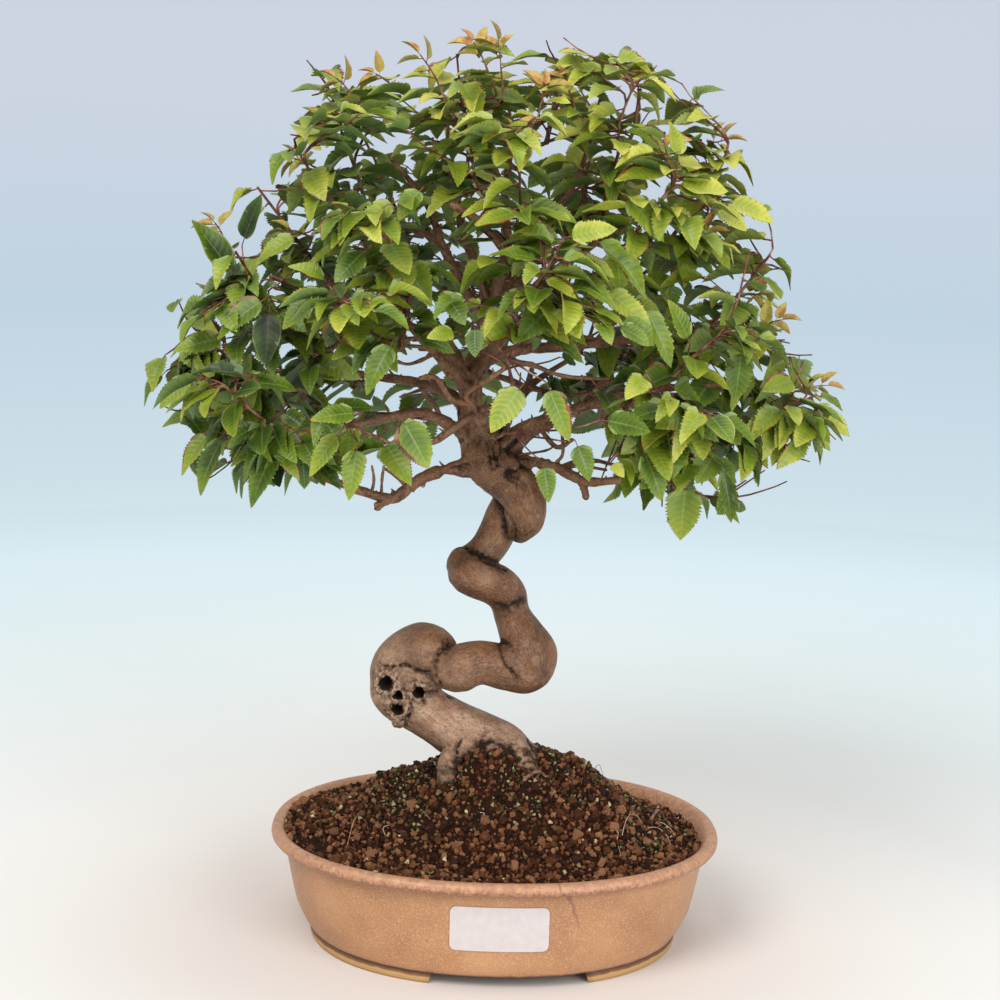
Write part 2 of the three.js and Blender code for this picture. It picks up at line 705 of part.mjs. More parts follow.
const rootTips = trunkPieces(clearance + 0.2);
const screenPockets = [-1, 1].map((side) => placedBox(
  screenSize + 1,
  screenSize + 1,
  screenThickness + 2 * clearance + 2,
  (side * holeSpacing) / 2,
  0,
  potFloorTop + clearance + screenThickness / 2 - 1,
));
const limbSolids = limbRuns.map((run) => tube(run, 4, { roundEnd: false }));
const core = joined(trunkPieces()).subtract(joined(scarCutters()));
const { shoots, branchlets } = shootSolids([core, ...limbSolids]);

place("pot", potSolid(), "pot");
place("label", labelSolid(), "paper");
place("screen_left", screenSolid(-holeSpacing / 2), "plastic");
place("screen_right", screenSolid(holeSpacing / 2), "plastic");
place("soil", soilSolid([...rootTips, ...screenPockets]), "soil");
place("trunk", thinned(joined([core, ...limbSolids, ...branchlets])), "bark");
shoots.forEach((solid, i) => place(`shoot_${String(i + 1).padStart(2, "0")}`, solid, "leaf"));

// The frame stands on the middle of the whole part's own box
const box = new THREE.Box3().setFromObject(group);
group.position.set(-(box.min.x + box.max.x) / 2, -(box.min.y + box.max.y) / 2, -box.min.z);

export default group;
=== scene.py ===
# Korean hornbeam bonsai in its oval pot: the looks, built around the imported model.
# Blender works in metres with +Z up. The sizes below are millimetres from the middle of the pot,
# at the level of its feet, with +Y away from the viewer, and toMetres brings them into the frame.
import functools
import itertools
import math

import bmesh
import bpy
import numpy as np
from mathutils import Matrix, Vector
from mathutils.bvhtree import BVHTree


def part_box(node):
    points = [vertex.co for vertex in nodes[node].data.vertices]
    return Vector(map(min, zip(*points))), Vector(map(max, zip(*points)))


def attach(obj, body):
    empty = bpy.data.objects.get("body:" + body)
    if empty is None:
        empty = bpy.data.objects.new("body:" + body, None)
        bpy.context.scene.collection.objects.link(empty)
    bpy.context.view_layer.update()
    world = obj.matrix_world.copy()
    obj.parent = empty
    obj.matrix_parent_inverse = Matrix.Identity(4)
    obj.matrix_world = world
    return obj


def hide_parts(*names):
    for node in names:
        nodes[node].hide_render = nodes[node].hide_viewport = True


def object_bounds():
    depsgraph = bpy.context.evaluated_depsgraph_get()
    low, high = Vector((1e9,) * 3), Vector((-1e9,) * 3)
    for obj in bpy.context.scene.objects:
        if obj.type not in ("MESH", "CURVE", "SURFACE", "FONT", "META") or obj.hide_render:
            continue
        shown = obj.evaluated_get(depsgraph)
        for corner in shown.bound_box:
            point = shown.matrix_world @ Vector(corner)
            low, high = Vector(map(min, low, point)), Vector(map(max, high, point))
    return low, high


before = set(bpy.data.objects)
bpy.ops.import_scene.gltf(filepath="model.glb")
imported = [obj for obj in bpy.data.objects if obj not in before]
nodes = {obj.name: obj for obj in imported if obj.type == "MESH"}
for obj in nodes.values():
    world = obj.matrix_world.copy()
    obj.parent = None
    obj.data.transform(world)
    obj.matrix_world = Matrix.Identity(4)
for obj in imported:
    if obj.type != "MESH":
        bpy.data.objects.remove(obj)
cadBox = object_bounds()
sceneCollection = bpy.context.scene.collection
potLow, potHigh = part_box("pot")
potMiddle = np.array([(potLow.x + potHigh.x) / 2, (potLow.y + potHigh.y) / 2, 0.0])
print("bonsai: frame loaded,", len(nodes), "nodes")


millimetre = 0.001  # in metres


def toMetres(points):
    return np.asarray(points, float) * millimetre + potMiddle


def fromMetres(points):
    return (np.asarray(points, float) - potMiddle) * 1000


def unit(v):
    return np.asarray(v, float) / np.linalg.norm(v)


up = np.array([0.0, 0.0, 1.0])


def draws(seed):  # the same seeded draw of numbers from 0 to 1 as the part's source
    state = [((seed + 1) * 2654435761) & 0xFFFFFFFF]

    def step():
        state[0] = (state[0] * 1664525 + 1013904223) & 0xFFFFFFFF
        return state[0] / 4294967296

    step()
    step()
    return step


def grit(points, size, seed=0):  # smooth noise from -1 to 1, size is the width of its lumps
    place = np.asarray(points, float) / size
    corner = np.floor(place)
    t = place - corner
    t = t * t * (3 - 2 * t)
    corner = corner.astype(np.int64)
    total = np.zeros(len(place))
    for steps in itertools.product((0, 1), repeat=3):
        c = corner + np.array(steps)
        mixed = c[:, 0] * 374761393 + c[:, 1] * 668265263 + c[:, 2] * 1442695041 + seed * 97531
        mixed = (mixed ^ (mixed >> 13)) * 1274126177
        mixed = (mixed ^ (mixed >> 16)) & 0xFFFF
        weight = np.prod(np.where(np.array(steps) == 1, t, 1 - t), axis=1)
        total += weight * (mixed / 32767.5 - 1)
    return total


def smoothRun(points, steps):
    points = np.array(points, float)
    last = len(points) - 1
    run = []
    for i in range(last):
        a, b, c, d = (points[k] for k in (max(i - 1, 0), i, i + 1, min(i + 2, last)))
        for k in range(steps):
            t = k / steps
            run.append(b + 0.5 * t * (c - a + t * (2 * a - 5 * b + 4 * c - d + t * (3 * (b - c) + d - a))))
    run.append(points[last])
    return np.array(run)


def framesAlong(run, window=1):
    last = len(run) - 1
    heading = [unit(run[min(i + window, last), :3] - run[max(i - window, 0), :3]) for i in range(last + 1)]
    side = unit(np.cross(heading[0], up if abs(heading[0][2]) < 0.9 else [1, 0, 0]))
    sides = []
    for axis in heading:
        side = unit(side - axis * side.dot(axis))
        sides.append(side)
    return np.array(heading), np.array(sides)


# Points and faces of a closed tube along a run of x, y, z and radius, round at both ends
def tubeMesh(run, sides, window=1, relief=None, firstPoint=0):
    heading, across = framesAlong(run, window)
    other = np.cross(heading, across)
    angle = np.arange(sides) / sides * 2 * math.pi
    (start, end), (startOut, endOut) = run[[0, -1], :3], heading[[0, -1]] * run[[0, -1], 3:4]
    centres = [start - startOut * 0.6, *run[:, :3], end + endOut * 0.6]
    radii = [run[0, 3] * 0.72, *run[:, 3], run[-1, 3] * 0.72]
    order = [0, *range(len(run)), len(run) - 1]
    points = []
    for centre, radius, i in zip(centres, radii, order):
        r = radius * (relief(angle, i) if relief else np.ones(sides))
        points.extend(
            centre + across[i] * (r * np.cos(angle))[:, None] + other[i] * (r * np.sin(angle))[:, None]
        )
    points += [start - startOut * 0.95, end + endOut * 0.95]
    faces = []
    first, last = firstPoint, firstPoint + (len(order) - 1) * sides
    for k in range(sides):
        n = (k + 1) % sides
        faces.append((last + sides, first + n, first + k))
        faces.append((last + sides + 1, last + k, last + n))
        for low in range(first, last, sides):
            faces.append((low + k, low + n, low + sides + n, low + sides + k))
    return np.array(points), faces


def makePiece(name, points, faces, materials, smooth=True):
    mesh = bpy.data.meshes.new(name)
    mesh.from_pydata(toMetres(points).tolist(), [], faces)
    for material in materials:
        mesh.materials.append(material)
    if smooth:
        mesh.shade_smooth()
    piece = bpy.data.objects.new(name, mesh)
    sceneCollection.objects.link(piece)
    return piece


def storeValues(mesh, name, kind, values):
    layer = mesh.attributes.new(name, kind, "POINT")
    field = "vector" if kind == "FLOAT_VECTOR" else "value"
    layer.data.foreach_set(field, np.asarray(values).ravel())


def pointsOf(mesh, field="co"):
    source = mesh.vertices if field == "co" else mesh.vertex_normals
    values = np.zeros(len(mesh.vertices) * 3)
    source.foreach_get("co" if field == "co" else "vector", values)
    return values.reshape(-1, 3)


# Turns what the modifiers make into a plain mesh, and takes the modifiers and their cutters off
def settle(piece, cutters=()):
    bpy.context.view_layer.update()
    shown = piece.evaluated_get(bpy.context.evaluated_depsgraph_get())
    mesh = bpy.data.meshes.new_from_object(shown)
    worn = piece.data
    piece.modifiers.clear()
    piece.data = mesh
    mesh.name = piece.name
    bpy.data.meshes.remove(worn)
    for cutter in cutters:
        bpy.data.objects.remove(cutter)
    return piece


# A round hole along a run of x, y, z and radius, cut when the piece is settled
def bore(piece, run, sides):
    cutter = makePiece("cutter", *tubeMesh(np.array(run, float), sides), [])
    hole = piece.modifiers.new("hole", "BOOLEAN")
    hole.operation = "DIFFERENCE"
    hole.solver = "MANIFOLD"
    hole.object = cutter
    return cutter


# A geometry tree with named inputs, what adds a node to it, and the identifier of each input
def newTree(name, inputs):
    tree = bpy.data.node_groups.new(name, "GeometryNodeTree")
    tree.interface.new_socket("Geometry", in_out="INPUT", socket_type="NodeSocketGeometry")
    sockets = {}
    for label, kind in inputs.items():
        sockets[label] = tree.interface.new_socket(label, in_out="INPUT", socket_type=kind).identifier
    tree.interface.new_socket("Geometry", in_out="OUTPUT", socket_type="NodeSocketGeometry")
    return tree, functools.partial(addNode, tree), sockets


def growWith(piece, tree, sockets, settings):
    modifier = piece.modifiers.new(tree.name, "NODES")
    modifier.node_group = tree
    for label, value in settings.items():
        modifier[sockets[label]] = value
    return settle(piece)


def socketOf(sockets, key):
    shown = [s for s in sockets if s.enabled]
    return shown[key] if isinstance(key, int) else next(s for s in shown if s.name == key)


def linear(value):  # an sRGB hex code as a linear colour, any other value as it is
    if not isinstance(value, str) or value[0] != "#":
        return value
    channels = [int(value[i : i + 2], 16) / 255 for i in (1, 3, 5)]
    return tuple(c / 12.92 if c <= 0.04045 else ((c + 0.055) / 1.055) ** 2.4 for c in channels) + (1.0,)


# Adds a node with its settings. An input given a node or a socket is linked to it.
def addNode(tree, kind, inputs={}, ramp=(), **settings):
    node = tree.nodes.new(kind)
    for name, value in settings.items():
        setattr(node, name, value)
    for key, value in inputs.items():
        socket = socketOf(node.inputs, key)
        if isinstance(value, bpy.types.Node):
            value = socketOf(value.outputs, 0)
        if isinstance(value, bpy.types.NodeSocket):
            tree.links.new(value, socket)
        else:
            socket.default_value = linear(value)
    for i, (position, tint) in enumerate(ramp):
        stops = node.color_ramp.elements
        stop = stops[i] if i < 2 else stops.new(position)
        stop.position = position
        stop.color = linear(tint) if isinstance(tint, str) else (tint, tint, tint, 1.0)
    return node


def newMaterial(name, shaderInputs):
    material = bpy.data.materials.new(name)
    material.use_nodes = True
    material.node_tree.nodes.clear()
    add = functools.partial(addNode, material.node_tree)
    shader = add("ShaderNodeBsdfPrincipled", shaderInputs)
    output = add("ShaderNodeOutputMaterial", {"Surface": shader})
    return material, add, shader, output


def joinSocket(source, node, key):  # for a node that was made before what feeds it
    node.id_data.links.new(socketOf(source.outputs, 0), socketOf(node.inputs, key))


# Camera: worked out from the ovals of the rim and the foot in the photograph, 1000 x 1000
lens = {
    "place": (-2.04, -1081.93, 434.57),
    "pitch": 10.4,
    "roll": 1.58,
    "focalPixels": 2095.0,
    "frame": 1000.0,
    "sensor": 36.0,  # mm
}
pitch, roll = math.radians(lens["pitch"]), math.radians(lens["roll"])
lensPlace, lensMiddle = np.array(lens["place"]), lens["frame"] / 2
lensAhead = np.array([0.0, math.cos(pitch), -math.sin(pitch)])
levelUp = np.array([0.0, math.sin(pitch), math.cos(pitch)])
levelRight = np.array([1.0, 0.0, 0.0])
lensRight = math.cos(roll) * levelRight + math.sin(roll) * levelUp
lensUp = -math.sin(roll) * levelRight + math.cos(roll) * levelUp


def onPicture(points):  # where points show, in pixels
    way = np.atleast_2d(points)[:, :3] - lensPlace
    depth = way @ lensAhead
    scale = lens["focalPixels"] / depth
    return np.stack([lensMiddle + way @ lensRight * scale, lensMiddle - way @ lensUp * scale], axis=1)


def fromPicture(u, v, y):  # the point seen at a pixel, at the depth y
    way = lensRight * (u - lensMiddle) + lensUp * (lensMiddle - v) + lensAhead * lens["focalPixels"]
    return lensPlace + way * ((y - lensPlace[1]) / way[1])


cameraData = bpy.data.cameras.new("camera")
cameraData.sensor_width = lens["sensor"]
cameraData.lens = lens["focalPixels"] / lens["frame"] * lens["sensor"]
cameraData.clip_start = 0.02
cameraData.clip_end = 60.0
camera = bpy.data.objects.new("camera", cameraData)
sceneCollection.objects.link(camera)
columns = [lensRight, lensUp, -lensAhead, toMetres(lensPlace)]
camera.matrix_world = Matrix([[columns[c][r] for c in range(4)] for r in range(3)] + [[0, 0, 0, 1]])
bpy.context.scene.camera = camera


# Stage: a pale floor that sweeps up all round into a pale wall, the same from every side
stageLook = {
    "sides": 96,
    "bendSteps": 16,
    "floorReach": 1.25,  # metres
    "bendRadius": 1.3,
    "wallTop": 4.2,
    # paint by share of the way out and up
    "paint": [
        (0.03, "#e2d9d2"), (0.075, "#dcdbd7"), (0.136, "#dee6e5"), (0.227, "#dfeff4"), (0.474, "#cbdce8"),
        (0.632, "#dadfeb"),
    ],
    "paintReach": 4.4,
}


def makeStage():
    # matte paint, cream underfoot and a cool blue further up
    backdrop, add, shader, _ = newMaterial("paintedBackdrop", {"Roughness": 0.9, "Specular IOR Level": 0.1})
    place = add("ShaderNodeTexCoord").outputs["Object"]
    level = add("ShaderNodeVectorMath", {0: place, 1: (1.0, 1.0, 0.0)}, operation="MULTIPLY")
    reach = add("ShaderNodeVectorMath", {0: level}, operation="LENGTH")
    height = add("ShaderNodeSeparateXYZ", {"Vector": place}).outputs[2]
    climb = add("ShaderNodeMath", {0: reach, 1: height})
    share = add("ShaderNodeMapRange", {0: climb, 2: stageLook["paintReach"]})
    joinSocket(add("ShaderNodeValToRGB", {0: share}, stageLook["paint"]), shader, "Base Color")
    sides, bendSteps = stageLook["sides"], stageLook["bendSteps"]
    bend, reachOut = stageLook["bendRadius"], stageLook["floorReach"]
    profile = [(0.25, 0.0), (0.6, 0.0), (reachOut, 0.0)]
    for k in range(1, bendSteps + 1):
        angle = k / bendSteps * math.pi / 2
        profile.append((reachOut + bend * math.sin(angle), bend * (1 - math.cos(angle))))
    profile.append((reachOut + bend, stageLook["wallTop"]))
    turns = [(math.cos(k / sides * 2 * math.pi), math.sin(k / sides * 2 * math.pi)) for k in range(sides)]
    for name, rows in (("floor", profile[:3]), ("backdrop", profile[2:])):
        points = [(reachAt * c, reachAt * s, height) for reachAt, height in rows for c, s in turns]
        faces = []
        for low in range(0, (len(rows) - 1) * sides, sides):
            for k in range(sides):
                n = (k + 1) % sides
                faces.append((low + k, low + sides + k, low + sides + n, low + n))
        if name == "floor":
            faces.append(tuple(range(sides)))
        piece = makePiece(name, fromMetres(points), faces, [backdrop])
        if name == "backdrop":  # only seen, so that the light comes in through it
            piece.visible_diffuse = False
            piece.visible_glossy = False
            piece.visible_shadow = False
            piece.visible_transmission = False


makeStage()

# Soft daylight-balanced studio light: a large box above and in front, a fill and a top light
lights = {
    "keyBox": {"at": (-0.75, -1.15, 1.55), "size": 1.1, "watts": 22.5, "tint": (1.0, 0.98, 0.95)},
    "fillBox": {"at": (0.9, -1.4, 0.75), "size": 1.3, "watts": 18.0, "tint": (0.96, 0.98, 1.0)},
    "topBox": {"at": (0.1, 0.25, 1.9), "size": 1.2, "watts": 10.0, "tint": (1.0, 1.0, 1.0)},
}
for lightName, setting in lights.items():
    lamp = bpy.data.lights.new(lightName, "AREA")
    lamp.shape = "DISK"
    lamp.size = setting["size"]
    lamp.energy = setting["watts"]
    lamp.color = setting["tint"]
    holder = bpy.data.objects.new(lightName, lamp)
    holder.location = setting["at"]
    holder.rotation_euler = (Vector((0, 0, 0.25)) - Vector(setting["at"])).to_track_quat("-Z", "Y").to_euler()
    sceneCollection.objects.link(holder)
world = bpy.data.worlds.new("studioAir")
world.use_nodes = True
worldTree = world.node_tree
worldTree.nodes.clear()
air = addNode(worldTree, "ShaderNodeBackground", {"Color": "#eef2f6", "Strength": 0.66})
addNode(worldTree, "ShaderNodeOutputWorld", {"Surface": air})
bpy.context.scene.world = world
bpy.context.scene.view_settings.view_transform = "Standard"
print("bonsai: camera, stage and light")


# Pot: stoneware with a satin tan glaze, pinkish where it breaks over the lip, bare clay at the feet
potForm = {
    "roundness": 2.17,
    "segments": 144,
    "outside": [
        (97.4, 83.6, 6.6), (98.6, 84.7, 6.4), (99.8, 85.5, 7.3), (101.6, 86.3, 10.0), (103.4, 87.0, 13.5),
        (105.1, 87.35, 16.8), (106.6, 87.6, 20.0), (108.0, 87.9, 26.0), (109.3, 88.15, 32.0),
        (110.5, 88.35, 38.0), (111.6, 88.55, 44.0), (112.1, 88.7, 48.0), (112.4, 88.85, 50.2),
        (113.4, 89.9, 51.6), (115.4, 92.0, 52.5), (117.6, 94.5, 53.0), (119.0, 96.0, 53.7),
        (119.8, 96.8, 54.7), (120.0, 97.0, 55.8), (119.7, 96.7, 57.2), (119.0, 96.0, 58.3),
        (117.8, 94.8, 59.1), (116.2, 93.2, 59.4), (114.6, 91.6, 59.1), (113.4, 90.4, 58.1),
        (112.6, 89.4, 56.6), (109.8, 86.6, 53.0), (106.4, 83.2, 48.0), (103.6, 82.0, 34.0),
        (101.0, 81.0, 20.0), (99.0, 79.5, 15.6), (95.0, 76.0, 14.0),
    ],
    "floor": (6.6, 14.0),  # its under side and its top
    "holeRadius": 9.0,
    "holeSpacing": 104.0,
}
footForm = {
    "out": (98.6, 83.4),
    "in": (88.0, 73.0),
    "gap": (49.0, 31.0),
    "height": 7.0,
    "slant": 2.2,
    "steps": 44,
    # height, and what each level adds to the outer and the inner oval
    "rim": [
        (0.0, -1.1, 0.6), (0.5, -0.25, 0.1), (1.4, 0.0, 0.0), (4.6, 0.5, 0.0), (5.2, 0.2, 0.0),
        (7.2, 0.9, -0.3),
    ],
}


def ovalRing(a, b, segments):
    angle = np.arange(segments) / segments * 2 * math.pi
    c, s = np.cos(angle), np.sin(angle)
    power = 2 / potForm["roundness"]
    return np.stack([a * np.sign(c) * np.abs(c) ** power, b * np.sign(s) * np.abs(s) ** power], axis=1)


def wallFront(x, z):  # y of the pot's front wall
    halfLengths, halfWidths, heights = np.array(potForm["outside"][1:14]).T
    a, b = np.interp(z, heights, halfLengths), np.interp(z, heights, halfWidths)
    return -b * (1 - np.abs(x / a) ** potForm["roundness"]) ** (1 / potForm["roundness"])


def handMade(points):  # the thrown wall wanders a little off the true oval
    still = np.clip((points[:, 2] - 8) / 12, 0, 1) * np.clip((58 - points[:, 2]) / 4, 0.25, 1)
    points[:, :2] *= (1 + 0.0022 * grit(points, 45, 3) * still)[:, None]
    return points


def glazeMaterial():
    # stoneware glaze, fired satin: glassy over a sandy body, so broad soft shine with fine light specks
    glaze, add, shader, _ = newMaterial("satinStonewareGlaze", {"IOR": 1.5, "Coat Roughness": 0.28})
    place = add("ShaderNodeTexCoord").outputs["Object"]
    across, deep, height = add("ShaderNodeSeparateXYZ", {"Vector": place}).outputs
    cloud = add("ShaderNodeTexNoise", {"Vector": place, "Scale": 38.0, "Detail": 3.0})  # 26 mm clouds
    colour = add("ShaderNodeValToRGB", {0: cloud}, [(0.30, "#a57450"), (0.50, "#b18058"), (0.72, "#bc8b62")])
    # light specks of about 0.8 mm, and pinholes
    speck = add("ShaderNodeTexNoise", {"Vector": place, "Scale": 1250.0, "Detail": 2.0, "Roughness": 0.6})
    speckShare = add("ShaderNodeValToRGB", {0: speck}, [(0.50, 0.0), (0.68, 0.5)])
    pits = add("ShaderNodeTexVoronoi", {"Vector": place, "Scale": 150.0})
    pitShare = add("ShaderNodeValToRGB", {0: pits.outputs["Distance"]}, [(0.05, 0.55), (0.09, 0.0)])
    # the lip: the glaze thins to pink, and runs off its edge in brown streaks
    stretched = add("ShaderNodeMapping", {"Vector": place, "Scale": (1.0, 1.0, 0.7)})
    lipNoise = add(
        "ShaderNodeTexNoise", {"Vector": stretched, "Scale": 300.0, "Detail": 4.0, "Roughness": 0.65}
    )
    lip = add("ShaderNodeValToRGB", {0: lipNoise}, [(0.34, "#aa7b5c"), (0.48, "#b68564"), (0.62, "#c3936d")])
    lipShare = add("ShaderNodeMapRange", {0: height, 1: 0.0505, 2: 0.0525})
    breakHeight = add("ShaderNodeMapRange", {0: height, 1: 0.050, 2: 0.061})
    breakRamp = [(0.10, 0.10), (0.30, 0.50), (0.44, 0.62), (0.60, 0.22), (0.75, 0.0), (0.92, 0.10)]
    breaks = add("ShaderNodeValToRGB", {0: breakHeight}, breakRamp)
    breakNoise = add(
        "ShaderNodeTexNoise", {"Vector": stretched, "Scale": 640.0, "Detail": 5.0, "Roughness": 0.7}
    )
    breakAt = add("ShaderNodeMath", {0: breaks, 1: 0.22, 2: breakNoise}, operation="MULTIPLY_ADD")
    broken = add("ShaderNodeMapRange", {0: breakAt, 1: 0.54, 2: 0.70, 4: 0.7})
    breakShare = add("ShaderNodeMath", {0: broken, 1: lipShare}, operation="MULTIPLY")
    # painted shade, mauve, in the cove under the lip
    coveShadeHeight = add("ShaderNodeMapRange", {0: height, 1: 0.044, 2: 0.056})
    coveShadeShare = add("ShaderNodeValToRGB", {0: coveShadeHeight}, [(0.30, 0.0), (0.60, 0.45), (0.78, 0.0)])
    # a run in the glaze, right of the middle
    wander = add("ShaderNodeTexNoise", {"Vector": place, "Scale": 90.0, "Detail": 3.0})
    leaning = add("ShaderNodeMath", {0: height, 1: -0.42, 2: 0.0585}, operation="MULTIPLY_ADD")
    strayed = add("ShaderNodeMath", {0: wander, 1: 0.014, 2: leaning}, operation="MULTIPLY_ADD")
    apart = add("ShaderNodeMath", {0: across, 1: strayed}, operation="SUBTRACT")
    aside = add("ShaderNodeMath", {0: apart}, operation="ABSOLUTE")
    thread = add("ShaderNodeMapRange", {0: aside, 1: 0.0002, 2: 0.0010, 3: 0.75, 4: 0.0})
    inFront = add("ShaderNodeMath", {0: deep, 1: 0.0}, operation="LESS_THAN")
    raised = add("ShaderNodeMapRange", {0: height, 1: 0.030, 2: 0.036})
    frontThread = add("ShaderNodeMath", {0: thread, 1: inFront}, operation="MULTIPLY")
    runShare = add("ShaderNodeMath", {0: frontThread, 1: raised}, operation="MULTIPLY")
    # the feet: bare yellowish clay, brown where the glaze begins
    footNoise = add("ShaderNodeTexNoise", {"Vector": place, "Scale": 160.0, "Detail": 3.0})
    footLine = add("ShaderNodeMath", {0: footNoise, 1: 0.0022, 2: height}, operation="MULTIPLY_ADD")
    footRamp = [(0.0, "#9c7442"), (0.20, "#b8905a"), (0.44, "#bf9864"), (0.52, "#84593a"), (0.66, "#553729")]
    footHeight = add("ShaderNodeMapRange", {0: footLine, 2: 0.010})
    bare = add("ShaderNodeValToRGB", {0: footHeight}, [*footRamp, (0.88, "#81573f")])
    footShare = add("ShaderNodeMapRange", {0: footLine, 1: 0.0078, 2: 0.0092, 3: 1.0, 4: 0.0})
    layers = [
        (speckShare, "#d9b48c"), (pitShare, "#6a4634"), (lipShare, lip), (breakShare, "#7d4d3e"),
        (coveShadeShare, "#97695a"), (runShare, "#84594a"), (footShare, bare),
    ]
    for share, tint in layers:
        colour = add("ShaderNodeMix", {0: share, 1: colour, 2: tint}, data_type="RGBA")
    joinSocket(colour, shader, "Base Color")
    bareRough = add("ShaderNodeMapRange", {0: footLine, 1: 0.0050, 2: 0.0062, 3: 0.79, 4: 0.36})
    roughness = add("ShaderNodeMath", {0: speck, 1: 0.16, 2: bareRough}, operation="MULTIPLY_ADD")
    joinSocket(roughness, shader, "Roughness")
    waves = add("ShaderNodeTexNoise", {"Vector": place, "Scale": 60.0})
    grain = add("ShaderNodeMath", {0: speck, 1: 0.10, 2: waves}, operation="MULTIPLY_ADD")
    sunk = add("ShaderNodeMath", {0: pitShare, 1: -0.218, 2: grain}, operation="MULTIPLY_ADD")
    joinSocket(add("ShaderNodeBump", {"Height": sunk, "Strength": 0.6, "Distance": 0.0012}), shader, "Normal")
    return glaze


def makePot():
    glaze = glazeMaterial()
    count = potForm["segments"]
    rings = [np.column_stack([ovalRing(a, b, count), np.full(count, z)]) for a, b, z in potForm["outside"]]
    points = handMade(np.vstack(rings))
    points = np.vstack([points, [[0, 0, potForm["floor"][0]], [0, 0, potForm["floor"][1]]]])
    faces = []
    last = len(rings) - 1
    under, inside = len(points) - 2, len(points) - 1
    for k in range(count):
        n = (k + 1) % count
        faces.append((under, n, k))
        faces.append((inside, last * count + k, last * count + n))
        for low in range(0, last * count, count):
            faces.append((low + k, low + n, low + count + n, low + count + k))
    pot = makePiece("glazed_pot", points, faces, [glaze])
    radius, reach = potForm["holeRadius"], potForm["holeSpacing"] / 2
    cutters = [bore(pot, [[x, 0, 0, radius], [x, 0, 20, radius]], 40) for x in (-reach, reach)]
    settle(pot, cutters)
    # two feet, each a block that follows the oval, cut on a slant at the ends
    rim = footForm["rim"]
    section = [("out", *level) for level in rim] + [("in", *level) for level in rim[::-1]]
    size, steps, power = len(section), footForm["steps"], potForm["roundness"] / 2
    footPoints = []
    footFaces = []
    for side, gap in ((1, footForm["gap"]), (-1, footForm["gap"][::-1])):
        first = len(footPoints)
        for share in np.arange(steps + 1) / steps:
            for wall, z, outMore, inMore in section:
                grow = outMore if wall == "out" else inMore
                a, b = footForm[wall][0] + grow, footForm[wall][1] + grow
                slant = (0.5 - z / footForm["height"]) * footForm["slant"]
                start, end = (math.acos(((edge + slant) / a) ** power) for edge in gap)
                angle = (end + start) * share - start
                c, t = math.cos(angle), math.sin(angle)
                spot = (side * a * abs(c) ** (1 / power), math.copysign(b * abs(t) ** (1 / power), t), z)
                footPoints.append(spot)
        for corner in range(first, first + steps * size, size):
            for k in range(size):
                n = (k + 1) % size
                footFaces.append((corner + k, corner + size + k, corner + size + n, corner + n)[::side])
        start, end = range(first, first + size), range(first + steps * size, first + (steps + 1) * size)
        footFaces += [tuple(start)[::side], tuple(end)[::-side]]
    feet = makePiece("pot_feet", footPoints, footFaces, [glaze])
    for piece in (pot, feet):
        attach(piece, "root")
        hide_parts("pot")
    for name in ("screen_left", "screen_right"):
        # dark green netting of soft plastic, dull
        plastic, *_ = newMaterial("polyethyleneMesh", {"Base Color": "#2c3a2c", "Roughness": 0.6})
        mesh = nodes[name].data
        mesh.materials.clear()
        mesh.materials.append(plastic)


# Label: a blank paper slip with round corners, pressed on the curved wall
labelForm = {
    "middle": 3.6,
    "width": 50.0,
    "bottom": 21.6,
    "height": 23.5,
    "corner": 3.2,
    "lift": 0.32,
    "thickness": 0.35,
}


def makeLabel():
    # coated paper, printed on nothing: white, with a faint sheen and tiny waves
    paper, add, shader, _ = newMaterial("coatedPaper", {"Roughness": 0.42})
    place = add("ShaderNodeTexCoord").outputs["Object"]
    fibre = add("ShaderNodeTexNoise", {"Vector": place, "Scale": 220.0})
    white = add("ShaderNodeValToRGB", {0: fibre}, [(0.3, "#c9bfbe"), (0.7, "#d0c7c6")])
    joinSocket(white, shader, "Base Color")
    bump = add("ShaderNodeBump", {"Height": fibre, "Strength": 0.3, "Distance": 0.0006})
    joinSocket(bump, shader, "Normal")
    corner = labelForm["corner"]
    flatWide, flatHigh = labelForm["width"] / 2 - corner, labelForm["height"] / 2 - corner
    outline = []
    for wayX, wayZ, start in ((1, 1, 0), (-1, 1, 90), (-1, -1, 180), (1, -1, 270)):
        for k in range(7):
            angle = math.radians(start + 90 * k / 6)
            across, along = corner * math.cos(angle), corner * math.sin(angle)
            outline.append((wayX * flatWide + across, wayZ * flatHigh + along))
        if wayX == wayZ:  # the long edges bend with the wall
            edge = outline[-1]
            outline += [(edge[0] - wayX * flatWide * k / 7, edge[1]) for k in range(1, 14)]
    outline = np.array(outline)
    shares = [0.02, 0.2, 0.4, 0.6, 0.8, 1.0]
    back, front = labelForm["lift"], labelForm["lift"] + labelForm["thickness"]
    rings = []
    for offset, inward in ((back, shares), (front, shares[::-1])):
        for share in inward:
            x, z = (outline * share + [labelForm["middle"], labelForm["bottom"] + labelForm["height"] / 2]).T
            wall = handMade(np.column_stack([x, wallFront(x, z), z]))
            rings.append(np.column_stack([x, wall[:, 1] - offset, z]))
    points = np.vstack(rings)
    count = len(outline)
    faces = [tuple(range(count)), tuple(range(len(points) - count, len(points)))[::-1]]
    for low in range(0, len(points) - count, count):
        for k in range(count):
            n = (k + 1) % count
            faces.append((low + count + k, low + count + n, low + n, low + k))
    label = makePiece("paper_label", points, faces, [paper], smooth=False)
    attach(label, "root")
    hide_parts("label")


makePot()
makeLabel()
print("bonsai: pot and label")


